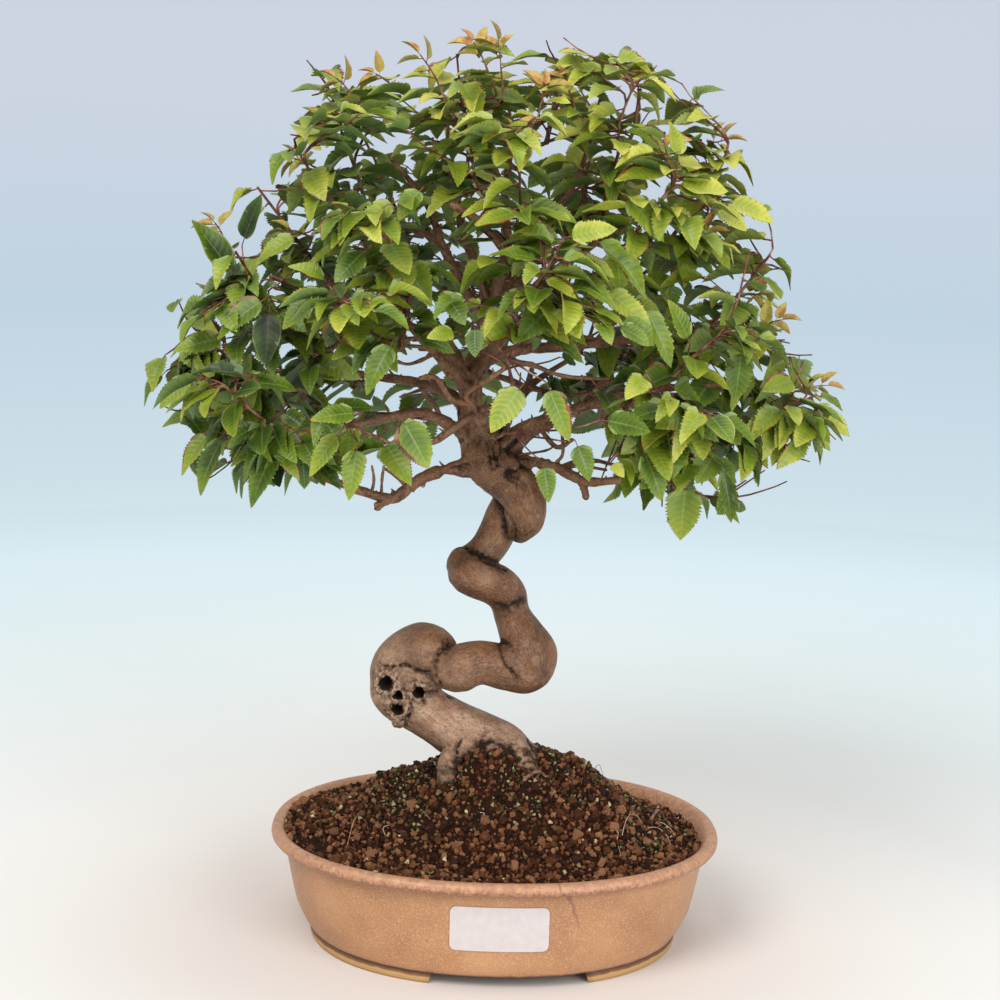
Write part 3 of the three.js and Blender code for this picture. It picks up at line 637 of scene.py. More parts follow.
# Soil: a mound of fired clay grains with pumice bits, dark fines and moss
soilForm = {
    "moundHeight": 99.0,
    "moundMiddle": (8.0, 4.0),
    "moundReach": (104.0, 92.0, 82.0),  # left, right, front and back
    "moundPower": 1.45,
    "edgeLevel": (56.0, -2.0, -1.0),  # in the middle, and what it gains towards the right and the back
    "wallInside": [(48.0, 106.4, 83.2), (53.0, 109.8, 86.6), (56.6, 112.6, 89.4), (58.1, 113.4, 90.4)],
    "body": [(105.4, 82.2, 47.0), (100.2, 80.2, 20.4), (94.2, 75.2, 14.6)],
    "mesh": (120, 40),  # points around and rings
    # grains: least gap, least width and most width
    "clay": (2.05, 2.2, 4.8),
    "large": (9.5, 5.0, 8.2),
    "pumice": (5.6, 1.4, 4.2),
    "fine": (1.8, 1.1, 2.4),
    # against the roots, then on the shoulders: x, y, reach and height
    "heaps": [
        (-32, -36, 11, 7), (-10, -24, 9, 12), (3, -24, 9, 11), (-8, -38, 10, 9), (18, -36, 12, 11),
        (50, -18, 16, 4), (27, -12, 9, 8),
        (-58, 8, 15, 5), (-71, 20, 9, 3), (45, 2, 10, 5.5),
    ],
    "sandy": (305, 845, 13),  # pixel and reach of the strip of bare sand
    # pixel and reach of the clumps of moss and lichen
    "mossy": [
        (414, 780, 12), (402, 800, 11), (428, 766, 8), (394, 778, 8), (512, 795, 8), (533, 812, 7),
        (562, 772, 8), (600, 782, 9), (636, 805, 9), (660, 820, 9), (684, 836, 7), (462, 776, 5),
        (418, 822, 8), (478, 812, 6), (575, 800, 5), (380, 806, 6), (545, 757, 9), (648, 845, 7),
    ],
    "seed": 11,
}


def moundHeightAt(x, y):
    level, right, back = soilForm["edgeLevel"]
    level = level + right * np.asarray(x) / 106 + back * np.asarray(y) / 82
    middle = soilForm["moundMiddle"]
    leftReach, rightReach, backReach = soilForm["moundReach"]
    away = np.asarray(x) - middle[0]
    reach = np.hypot(away / np.where(away < 0, leftReach, rightReach), (y - middle[1]) / backReach)
    rise = np.clip(1 - reach**2, 0, None)
    heaped = level + (soilForm["moundHeight"] - level) * rise ** soilForm["moundPower"]
    for spotX, spotY, spread, lift in soilForm["heaps"]:
        heaped = heaped + lift * np.exp(-((x - spotX) ** 2 + (y - spotY) ** 2) / spread**2)
    return heaped


def onSoil(u, v):  # where a pixel of the photograph meets the mound
    nearest = -96.0
    for y in np.linspace(nearest, 60, 157):
        p = fromPicture(u, v, y)
        if p[2] < moundHeightAt(p[0], p[1]):
            return np.array([p[0], p[1], moundHeightAt(p[0], p[1])])
    return fromPicture(u, v, nearest)


def mossAt(points, spots=soilForm["mossy"]):
    where = np.zeros(len(points))
    for u, v, reach in spots:
        middle = onSoil(u, v)
        away = np.hypot(points[:, 0] - middle[0], points[:, 1] - middle[1])
        where = np.maximum(where, np.exp(-((away / (1.25 * reach)) ** 2)))
    return where * np.clip(0.85 + 0.8 * grit(points, 6, 44), 0, 1)


def soilMaterial(name, low, middle, high, roughness):
    # fired clay, crumbly and damp: matte, every grain its own brown
    material, add, shader, _ = newMaterial(name, {"Roughness": roughness, "Specular IOR Level": 0.14})
    place = add("ShaderNodeTexCoord").outputs["Object"]
    tint = add("ShaderNodeAttribute", attribute_name="tint").outputs["Fac"]
    grain = add("ShaderNodeTexNoise", {"Vector": place, "Scale": 900.0, "Detail": 3.0, "Roughness": 0.7})
    spread = add("ShaderNodeMath", {0: grain, 1: 0.9, 2: tint}, operation="MULTIPLY_ADD")
    shifted = add("ShaderNodeMath", {0: spread, 1: 0.45}, operation="SUBTRACT")
    shade = add("ShaderNodeValToRGB", {0: shifted}, [(0.12, low), (0.5, middle), (0.95, high)])
    joinSocket(shade, shader, "Base Color")
    pores = add("ShaderNodeTexNoise", {"Vector": place, "Scale": 1300.0, "Detail": 3.0, "Roughness": 0.7})
    bump = add("ShaderNodeBump", {"Height": pores, "Strength": 0.8, "Distance": 0.0009})
    joinSocket(bump, shader, "Normal")
    return material


# Crumbs of fired clay: the hull of a few points strewn on a knocked-about ball, so flat-sided
def grainShapes(groupName, count, corners, seed):
    group = bpy.data.collections.new(groupName)
    for i in range(count):
        rng = np.random.default_rng(seed + i)
        points = rng.normal(size=(corners, 3))
        points /= np.linalg.norm(points, axis=1)[:, None]
        points *= rng.uniform(0.74, 1.0, (corners, 1)) * rng.uniform(0.72, 1.12, 3)
        hull = bmesh.new()
        for point in points:
            hull.verts.new(point * 0.52)
        bmesh.ops.convex_hull(hull, input=hull.verts[:])
        bmesh.ops.delete(hull, geom=[v for v in hull.verts if not v.link_faces], context="VERTS")
        bmesh.ops.recalc_face_normals(hull, faces=hull.faces[:])
        mesh = bpy.data.meshes.new(f"{groupName}{i}")
        hull.to_mesh(mesh)
        hull.free()
        group.objects.link(bpy.data.objects.new(f"{groupName}{i}", mesh))
    return group


def grainTree():
    inputs = {"Grains": "NodeSocketCollection", "Sink": "NodeSocketFloat", "Seed": "NodeSocketInt"}
    inputs |= {label: "NodeSocketFloat" for label in ("Least gap", "Least width", "Most width")}
    tree, add, sockets = newTree("scatterGrains", {**inputs, "Finish": "NodeSocketMaterial"})
    given = add("NodeGroupInput").outputs
    where = add("GeometryNodeInputNamedAttribute", {"Name": "where"})
    spread = {"Distance Min": given["Least gap"], "Density Max": 260000.0, "Density Factor": where}
    spots = add(
        "GeometryNodeDistributePointsOnFaces",
        {"Mesh": given["Geometry"], **spread, "Seed": given["Seed"]},
        distribute_method="POISSON",
    )
    widths = {"Min": given["Least width"], "Max": given["Most width"], "Seed": given["Seed"]}
    width = add("FunctionNodeRandomValue", widths)
    wholeTurn = (6.283, 6.283, 6.283)
    spin = add("FunctionNodeRandomValue", {"Max": wholeTurn, "Seed": 5}, data_type="FLOAT_VECTOR")
    turn = add("FunctionNodeEulerToRotation", {0: spin})
    grains = {"Collection": given["Grains"], "Separate Children": True, "Reset Children": True}
    shapes = add("GeometryNodeCollectionInfo", grains)
    choice = {"Instance": shapes, "Pick Instance": True, "Rotation": turn, "Scale": width}
    placed = add("GeometryNodeInstanceOnPoints", {"Points": spots, **choice})
    drop = add("ShaderNodeMath", {0: width, 1: given["Sink"]}, operation="MULTIPLY")
    down = add("ShaderNodeCombineXYZ", {"Z": drop})
    lowering = {"Instances": placed, "Translation": down, "Local Space": False}
    lowered = add("GeometryNodeTranslateInstances", lowering)
    chance = add("FunctionNodeRandomValue", {"Seed": 9})
    shade = {"Geometry": lowered, "Name": "tint", "Value": chance}
    tinted = add("GeometryNodeStoreNamedAttribute", shade, domain="INSTANCE")
    real = add("GeometryNodeRealizeInstances", {"Geometry": tinted})
    dressed = add("GeometryNodeSetMaterial", {"Geometry": real, "Material": given["Finish"]})
    add("NodeGroupOutput", {"Geometry": dressed})
    return tree, sockets


# Strews shapes over the mound by plans of shapes, finish, gap and widths, where they lie, and how deep
def strew(plans, seed, tree, sockets, surface, top):
    for number, (name, (shapes, finish, (gap, least, most), where, sink)) in enumerate(plans.items()):
        field = makePiece(name, surface, top, [])
        storeValues(field.data, "where", "FLOAT", np.clip(where, 0, 1))
        measures = {"Least gap": gap, "Least width": least, "Most width": most}
        sizes = {label: measure * millimetre for label, measure in measures.items()}
        ways = {"Grains": shapes, "Sink": sink, "Seed": seed + number, "Finish": finish}
        growWith(field, tree, sockets, {**sizes, **ways})
        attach(field, "root")
        print("bonsai:", name, len(field.data.polygons), "faces")


def makeSoil():
    heights, halfLengths, halfWidths = np.array(soilForm["wallInside"]).T
    count, rows = soilForm["mesh"]
    edge = ovalRing(halfLengths[1], halfWidths[1], count)
    level = moundHeightAt(*edge.T)
    edge[:, 0] *= (np.interp(level, heights, halfLengths) - 0.5) / halfLengths[1]
    edge[:, 1] *= (np.interp(level, heights, halfWidths) - 0.5) / halfWidths[1]
    flats = [edge * (1 - r / rows) for r in range(rows)]
    rings = [np.column_stack([flat, moundHeightAt(*flat.T)]) for flat in flats]
    surface = np.vstack(rings + [[[0, 0, moundHeightAt(0, 0)]]])
    rough = grit(surface, 14, 1) * 1.3 + grit(surface, 5, 2) * 0.9
    outward = np.hypot(surface[:, 0] / halfLengths[1], surface[:, 1] / halfWidths[1])
    surface[:, 2] += rough * np.clip((1 - outward) * 12, 0, 1) - 0.6
    top = []
    for k in range(count):
        n = (k + 1) % count
        for low in range(0, (rows - 1) * count, count):
            top.append((low + k, low + n, low + count + n, low + count + k))
        top.append(((rows - 1) * count + k, (rows - 1) * count + n, rows * count))
    # the body below the surface, down to the floor of the pot
    skirt = [np.column_stack([ovalRing(a, b, count), np.full(count, z)]) for a, b, z in soilForm["body"]]
    points = np.vstack([surface] + skirt + [[[0, 0, soilForm["body"][-1][2]]]])
    base = len(surface)
    faces = list(top)
    for k in range(count):
        n = (k + 1) % count
        faces.append((base + k, base + n, n, k))
        for low in (base, base + count):
            faces.append((low + count + k, low + count + n, low + n, low + k))
        faces.append((base + 3 * count, base + 2 * count + n, base + 2 * count + k))
    # the mound shows only between the grains: its near-black browns are damp fines and painted shade of the
    # gaps
    earth = soilMaterial("dampClayFines", "#150a05", "#2c160b", "#4c2c18", 0.95)
    ground = makePiece("soil_mound", points, faces, [earth])
    storeValues(ground.data, "tint", "FLOAT", np.full(len(points), 0.45))
    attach(ground, "root")
    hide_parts("soil")
    clay = soilMaterial("firedClayGrains", "#2a1409", "#5a321b", "#8d6142", 0.62)
    pumice = soilMaterial("pumiceGrit", "#6f5a35", "#a58a5c", "#dccb9f", 0.7)
    sand = soilMaterial("claySand", "#1a0c06", "#402211", "#785334", 0.65)
    lumps = grainShapes("clayLump", 8, 15, 40)
    chips = grainShapes("stoneChip", 4, 9, 60)
    specks = grainShapes("sandSpeck", 4, 7, 80)
    x, y = surface[:, 0], surface[:, 1]
    front = np.clip((-y + 10) / 60, 0, 1)
    sandU, sandV, sandReach = soilForm["sandy"]
    sandX, sandY, _ = onSoil(sandU, sandV)
    grainy = 1 - 0.93 * np.exp(-(((x - sandX) ** 2 + (y - sandY) ** 2) / sandReach**2) ** 2)
    grainy *= 1 - 0.75 * mossAt(surface)
    scatter = (*grainTree(), surface, top)
    plans = {
        "soil_clay_grains": (lumps, clay, soilForm["clay"], grainy, 0.12),
        "soil_large_grains": (lumps, clay, soilForm["large"], (0.2 + 0.8 * front) * grainy, 0.16),
        "soil_pumice": (chips, pumice, soilForm["pumice"], 0.3 * grainy, 0.22),
        "soil_clay_sand": (specks, sand, soilForm["fine"], np.full(len(x), 0.8), 0.42),
    }
    strew(plans, soilForm["seed"], *scatter)
    return chips, scatter


chips, scatter = makeSoil()


# Trunk: coils, roots and limbs as in the part's source, the two front roots steeper; x, y, z and radius
trunkSweeps = {
    "stem": [
        (14, 5, 64, 13), (13, 4, 78, 16), (4, 2, 94.5, 17), (-11, 0, 104, 16.2), (-25, -1, 112.5, 14.8),
        (-38, 0, 120, 14.4), (-49, 2, 128.5, 15.4), (-53.5, 3, 137, 15), (-52, 4, 146, 14),
        (-43.5, 1, 153.5, 14), (-36, -6, 155.5, 13.4), (-31, -12, 152, 11.6),
    ],
    "head": [
        (-54, 3, 142, 10.6), (-57, 2, 135, 12), (-57.5, 0, 129, 11), (-54, -1, 122.5, 8.4),
        (-51, -1.5, 117.5, 5.6),
    ],
    "fold": [(-49, -1, 143, 11), (-40, -5, 142.5, 10.6), (-31, -8, 142, 8)],
    "lowerCoil": [
        (-25.5, -16, 147, 11.4), (-19, -17.6, 149.3, 13), (-9.6, -15, 151.6, 11.7), (2.2, -9, 148.6, 12.2),
        (13.8, -3, 146.6, 13.8), (17, 3, 153.8, 13), (11, 6, 163.6, 11.8), (6, 5, 173.5, 10.5),
        (4, 3, 182, 10.7), (-1, -1, 189, 10.9), (-9.3, -6, 194, 11.3), (-18.8, -7, 198.3, 11),
    ],
    "upperCoil": [
        (-21, -3, 200.6, 9), (-15.6, 3, 202.6, 9.6), (-9.2, 6, 207.4, 9.8), (-3.2, 7, 216.7, 9.8),
        (0.8, 6, 227.5, 9.8), (3.2, 4, 235, 9),
    ],
    "column": [(7, 1, 170, 9.4), (11, -2, 163, 10.6), (14.6, -4.6, 155.5, 11.6), (14.6, -6, 149.5, 11.8)],
    "knob": [(-54.5, -7, 121, 3.0), (-53, -10, 117.6, 3.9), (-52.6, -10.6, 116.4, 3.6)],
    "crown": [
        (8.6, -2, 220.5, 7.6), (11.2, -5, 226.6, 10.2), (10.8, -6, 234, 11.2), (7.8, -4, 241.3, 12),
        (1.3, -1, 247.5, 12.6), (-6.2, 1, 254, 13), (-12.6, 3, 262, 11), (-17.3, 4, 272, 7.9),
        (-19, 5, 283, 6.6), (-18.9, 6, 296, 6.4), (-15.5, 8, 309, 6.2), (-8.6, 9, 322, 5.6),
    ],
}
rootSweeps = [
    [(-14, -4, 102, 9), (-23, -13, 99, 6.6), (-26, -20, 90, 5.4), (-27, -26, 76, 3.6)],
    [(8, -2, 99, 11), (14.5, -14, 96.5, 7.8), (17, -21, 88, 5.8), (18, -27, 74, 3.8)],
    [(-2, -4, 99, 9), (-7, -16, 96, 5.4), (-10, -25, 88, 4), (-13, -36, 74, 2.6)],
    [(12, 2, 93, 12), (28, 5, 94, 6), (41, 6, 91, 3.6), (56, 10, 82, 2.6), (68, 14, 70, 2)],
    [(12, 6, 91, 11), (18, 22, 90, 6.4), (24, 37, 81, 4.4), (29, 50, 68, 3)],
    [(-8, 6, 97, 10), (-18, 21, 91, 6), (-27, 34, 81, 4.2), (-36, 46, 68, 3)],
]
scarHoles = [
    ((-60, -9, 137.2), 3.8), ((-53, -12, 131.4), 2.6), ((-42.4, -10.5, 133.8), 3),
    ((-53.4, -10.5, 124.2), 3.4),
]
limbs = [
    [(-8, 0, 254, 6.5), (-20, -3, 253, 5.4), (-33, -5, 251.4, 3.6), (-43, -8, 247.7, 3.2),
     (-51, -12, 242, 3.1), (-59, -16, 238, 2.8), (-74, -22, 243, 2.3), (-92, -29, 250, 1.9),
     (-112, -35, 255, 1.4)],
    [(-11, 2, 262, 6.3), (-23, 0, 271, 4.2), (-37, -6, 280, 2.9), (-48, -12, 282.7, 2.7),
     (-76, -26, 278, 2.3), (-104, -36, 275, 1.9), (-132, -42, 279, 1.4)],
    [(-14, 5, 270, 5), (-23, 9, 285, 3.6), (-44, 24, 293, 2.9), (-70, 42, 294, 2.4),
     (-102, 54, 295, 1.9), (-132, 60, 293, 1.4)],
    [(-18, 5, 290, 4.6), (-27, -3, 308, 3.4), (-42, -10, 323, 2.8), (-66, -19, 333, 2.4),
     (-93, -25, 342, 1.9), (-120, -29, 352, 1.4)],
    [(0, 0, 256, 6.3), (15, -4, 257, 3.8), (25.5, -8, 255.7, 3), (35, -12, 252, 2.8), (44, -15, 249.5, 2.6),
     (64, -22, 253, 2.3), (87, -30, 259, 1.9), (108, -36, 262, 1.4)],
    [(-5, 2, 259.5, 8.4), (5, 2, 268, 6.8), (12.6, 2, 274.3, 5.5), (20, -2, 277.5, 4.4),
     (38, -14, 288, 3.3), (61, -30, 298.8, 2.4), (91, -43, 304, 1.9), (118, -48, 306, 1.4)],
    [(8, 4, 270, 5.4), (16, 12, 275, 4), (28, 18, 278, 3.4), (50, 28, 286, 2.8),
     (84, 40, 288, 2.3), (114, 48, 287, 1.9), (138, 52, 288, 1.4)],
    [(-14, 8, 306, 4.4), (2, 6, 314, 3.2), (24, 3, 317, 2.8), (54, -1, 321, 2.3),
     (84, -6, 326, 1.9), (114, -10, 334, 1.4)],
    [(-10, 9, 318, 4.2), (3, 6, 336, 3), (18, 1, 352, 2.6), (38, -6, 368, 2), (64, -11, 386, 1.4)],
    [(-8.6, 9, 320, 5), (-7, 6, 344, 3.4), (-2, 3, 368, 2.7), (-4, 1, 396, 2), (0, 0, 424, 1.4)],
    [(-10, 8, 320, 4.2), (-20, 4, 340, 3), (-34, -2, 366, 2.4), (-44, -7, 390, 1.9), (-62, -10, 412, 1.4)],
    [(-9, 10, 322, 4), (-14, 15, 348, 2.8), (-26, 18, 376, 2.2), (-30, 21, 400, 1.8), (-42, 23, 420, 1.4)],
    [(-8, 10, 326, 4), (6, 14, 352, 2.8), (16, 18, 378, 2.2), (32, 20, 400, 1.8), (40, 25, 424, 1.4)],
    [(-8, -4, 262, 5.4), (-9, -24, 274, 3.6), (-14, -50, 288, 2.6), (-20, -76, 300, 1.4)],
    [(-15, 2, 303, 4.4), (-4, -18, 322, 3), (10, -42, 340, 2.4), (20, -68, 358, 1.4)],
    [(-4, 8, 262, 5.4), (0, 32, 274, 3.6), (10, 62, 286, 2.6), (14, 88, 296, 1.4)],
    [(-11, 12, 310, 4.4), (-6, 34, 332, 3), (2, 58, 352, 2.2), (8, 84, 366, 1.4)],
    [(-18, 10, 290, 4.4), (-30, 30, 312, 3), (-50, 54, 330, 2.2), (-70, 74, 342, 1.4)],
    [(-20, -2, 292, 4.2), (-34, -24, 312, 2.8), (-50, -46, 332, 2.1), (-62, -64, 350, 1.4)],
]
limbRuns = [smoothRun(limb, 1) for limb in limbs]
fineLimbs = [smoothRun(limb, 6) for limb in limbs]
for run in fineLimbs:
    run[:, 3] *= np.interp(run[:, 3], [2, 5], [0.84, 1])
barkForm = {
    "voxel": 0.95,
    "thickLimb": 2.7,  # limbs thicker than this are one skin with the trunk
    "steps": 5,
    "sides": 30,
    "swell": 0.5,
    "wrinkle": 0.2,
    "scar": 1.0,
    "holeDepth": 7.0,
    "knobMiddle": (-51, -9, 117.5),
    "dirtReach": 12.0,
    "footTop": 112,  # where the sinewy foot ends
    "fork": (236, 300),  # where its fissures begin and end
    "blend": 14,
}
# Places of painted shade and dirt, as a pixel of the photograph, its depth, reach in mm and strength: shade
# in the creases between the coils, then mossy ones
shadeAndDirtPlaces = [
    (445, 645, -14, 5, 0.9), (436, 662, -16, 4, 0.9), (425, 672, -14, 5, 0.5), (400, 668, -14, 7, 0.35),
    (383, 665, -12, 6, 0.3), (506, 655, -8, 7, 0.75), (513, 672, -8, 6, 0.6), (498, 640, -6, 5, 0.7),
    (510, 604, -6, 7, 0.65), (492, 600, -6, 7, 0.6), (526, 600, -4, 6, 0.6), (475, 551, -8, 5, 0.95),
    (488, 560, -9, 5, 1.0), (500, 567, -8, 5, 0.9), (466, 546, -6, 5, 0.8), (505, 525, -4, 6, 0.6),
    (515, 540, -4, 6, 0.5), (492, 503, -2, 6, 0.4), (500, 515, -4, 6, 0.4), (486, 494, 0, 5, 0.5),
    (500, 455, -12, 8, 0.3), (470, 425, -6, 9, 0.25),
    (408, 730, -14, 5, 0.6), (404, 720, -14, 4, 0.5), (470, 765, -20, 7, 0.6), (505, 765, -20, 8, 0.6),
    (540, 745, 0, 8, 0.6), (446, 745, -8, 6, 0.5), (432, 735, -6, 6, 0.4), (560, 755, 5, 8, 0.5),
]
# Folds where one coil lies on the next, and fissures of the fork: pixels, depth, half width and reach of the
# painted shade
folds = [
    ([(456, 640), (446, 645), (437, 655), (433, 665), (434, 677), (440, 687), (450, 697)], 2.6, 1.5, 3.6),
    ([(499, 640), (503, 652), (507, 664), (512, 670), (519, 680)], 1.5, 1.6, 5.0),
    ([(464, 545), (475, 553), (486, 561), (504, 568)], 2.2, 1.7, 6.0),
    ([(497, 605), (508, 607), (519, 601), (526, 598)], 0.6, 1.6, 5.0),
    ([(494, 499), (502, 508), (509, 519), (514, 529), (514, 540), (512, 549)], 1.8, 1.8, 5.0),
    ([(503, 424), (498, 436), (494, 450), (497, 465)], 2.4, 1.4, 4.0),
    ([(485, 438), (488, 452), (491, 468)], 1.6, 1.2, 3.0),
    ([(519, 430), (515, 443), (508, 453)], 1.6, 1.2, 3.0),
    ([(508, 470), (517, 469), (527, 463)], 1.6, 1.4, 4.5),
    ([(404, 688), (410, 698), (411, 711), (405, 724)], 1.3, 1.0, 2.0),
    ([(413, 683), (421, 692), (425, 703)], 1.1, 1.0, 2.0),
    ([(377, 664), (392, 667), (404, 664), (418, 671), (431, 672)], 0.7, 1.0, 2.6),
    ([(487, 733), (481, 743), (484, 755)], 1.6, 1.3, 4.0),
    ([(484, 745), (494, 741), (503, 746), (510, 754)], 1.2, 1.2, 3.5),
    ([(462, 739), (457, 749), (455, 762)], 0.8, 0.9, 2.0),
    ([(529, 743), (533, 751), (534, 760)], 1.0, 1.2, 4.0),
]
mossPlaces = [
    (515, 535, -2, 8, 0.6), (498, 510, -2, 7, 0.4), (490, 445, -12, 10, 0.35), (428, 700, -16, 6, 0.5),
    (418, 712, -16, 5, 0.4), (448, 764, -24, 7, 0.3), (451, 776, -27, 8, 0.4), (534, 762, -22, 6, 0.25),
    (505, 602, -4, 8, 0.35), (470, 420, -6, 10, 0.3), (545, 755, 0, 10, 0.4), (462, 742, -24, 6, 0.35),
    (440, 640, -2, 5, 0.3),
]
scarPlaces = [(425, 668, -16, 8, 0.8), (395, 664, -14, 8, 0.7)]


def nearPlaces(points, places):
    total = np.zeros(len(points))
    for u, v, y, reach, strength in places:
        away = np.linalg.norm(points - fromPicture(u, v, y), axis=1)
        total += strength * np.exp(-((away / reach) ** 2))
    return total


# How deep the folds cut at each point and how dark their painted shade makes it: their pixels are cast onto
# the wood itself
def foldsOn(points, polygons):
    wood = BVHTree.FromPolygons(points.tolist(), polygons)
    depth, dark = np.zeros(len(points)), np.zeros(len(points))
    for pixels, cut, halfWidth, darkReach in folds:
        away = np.full(len(points), 1e6)
        for (ua, va), (ub, vb) in zip(pixels, pixels[1:]):
            for t in np.linspace(0, 1, max(2, round(math.dist((ua, va), (ub, vb)) / 1.5))):
                way = unit(fromPicture(ua + (ub - ua) * t, va + (vb - va) * t, 0) - lensPlace)
                hit = wood.ray_cast(lensPlace.tolist(), way.tolist())[0]
                if hit is not None:
                    away = np.minimum(away, np.linalg.norm(points - np.array(hit), axis=1))
        depth = np.maximum(depth, cut * np.exp(-((away / halfWidth) ** 2)))
        core, halo = np.exp(-((away / (0.6 * halfWidth)) ** 2)), np.exp(-((away / darkReach) ** 2))
        dark = np.maximum(dark, 0.7 * core + 0.62 * halo)
    return depth, dark


def smoothed(points, edges, rounds, strength=0.5):
    count = np.bincount(edges.ravel(), minlength=len(points))[:, None]
    for _ in range(rounds):
        total = np.zeros_like(points)
        for axis in range(3):
            total[:, axis] = np.bincount(edges[:, 0], points[edges[:, 1], axis], len(points))
            total[:, axis] += np.bincount(edges[:, 1], points[edges[:, 0], axis], len(points))
        points = points + (total / count - points) * strength
    return points


# Where each point lies on its nearest coil or limb: across, across and along, in mm, so that the bark's
# streaks follow the wood without a seam
def grainAt(points, runs):
    rows = []
    start, apart, chunk = 0.0, 300.0, 4000
    for run, window in runs:
        heading, across = framesAlong(run, window)
        along = start + np.cumsum([0, *np.linalg.norm(np.diff(run[:, :3], axis=0), axis=1)])
        rows.append(np.column_stack([run, heading, across, np.cross(heading, across), along]))
        start += apart
    centres, radii, axes, sides, others, alongs = np.split(np.concatenate(rows), [3, 4, 7, 10, 13], axis=1)
    grain, thick = np.zeros((len(points), 3)), np.zeros(len(points))
    for first in range(0, len(points), chunk):
        part = slice(first, first + chunk)
        best = (np.linalg.norm(points[part, None] - centres[None], axis=2) / radii[:, 0]).argmin(axis=1)
        way = points[part] - centres[best]
        for column, axis in enumerate((sides, others, axes)):
            grain[part, column] = np.einsum("ij,ij->i", way, axis[best])
        grain[part, 2] += alongs[best, 0]
        thick[part] = radii[best, 0]
    return grain, thick


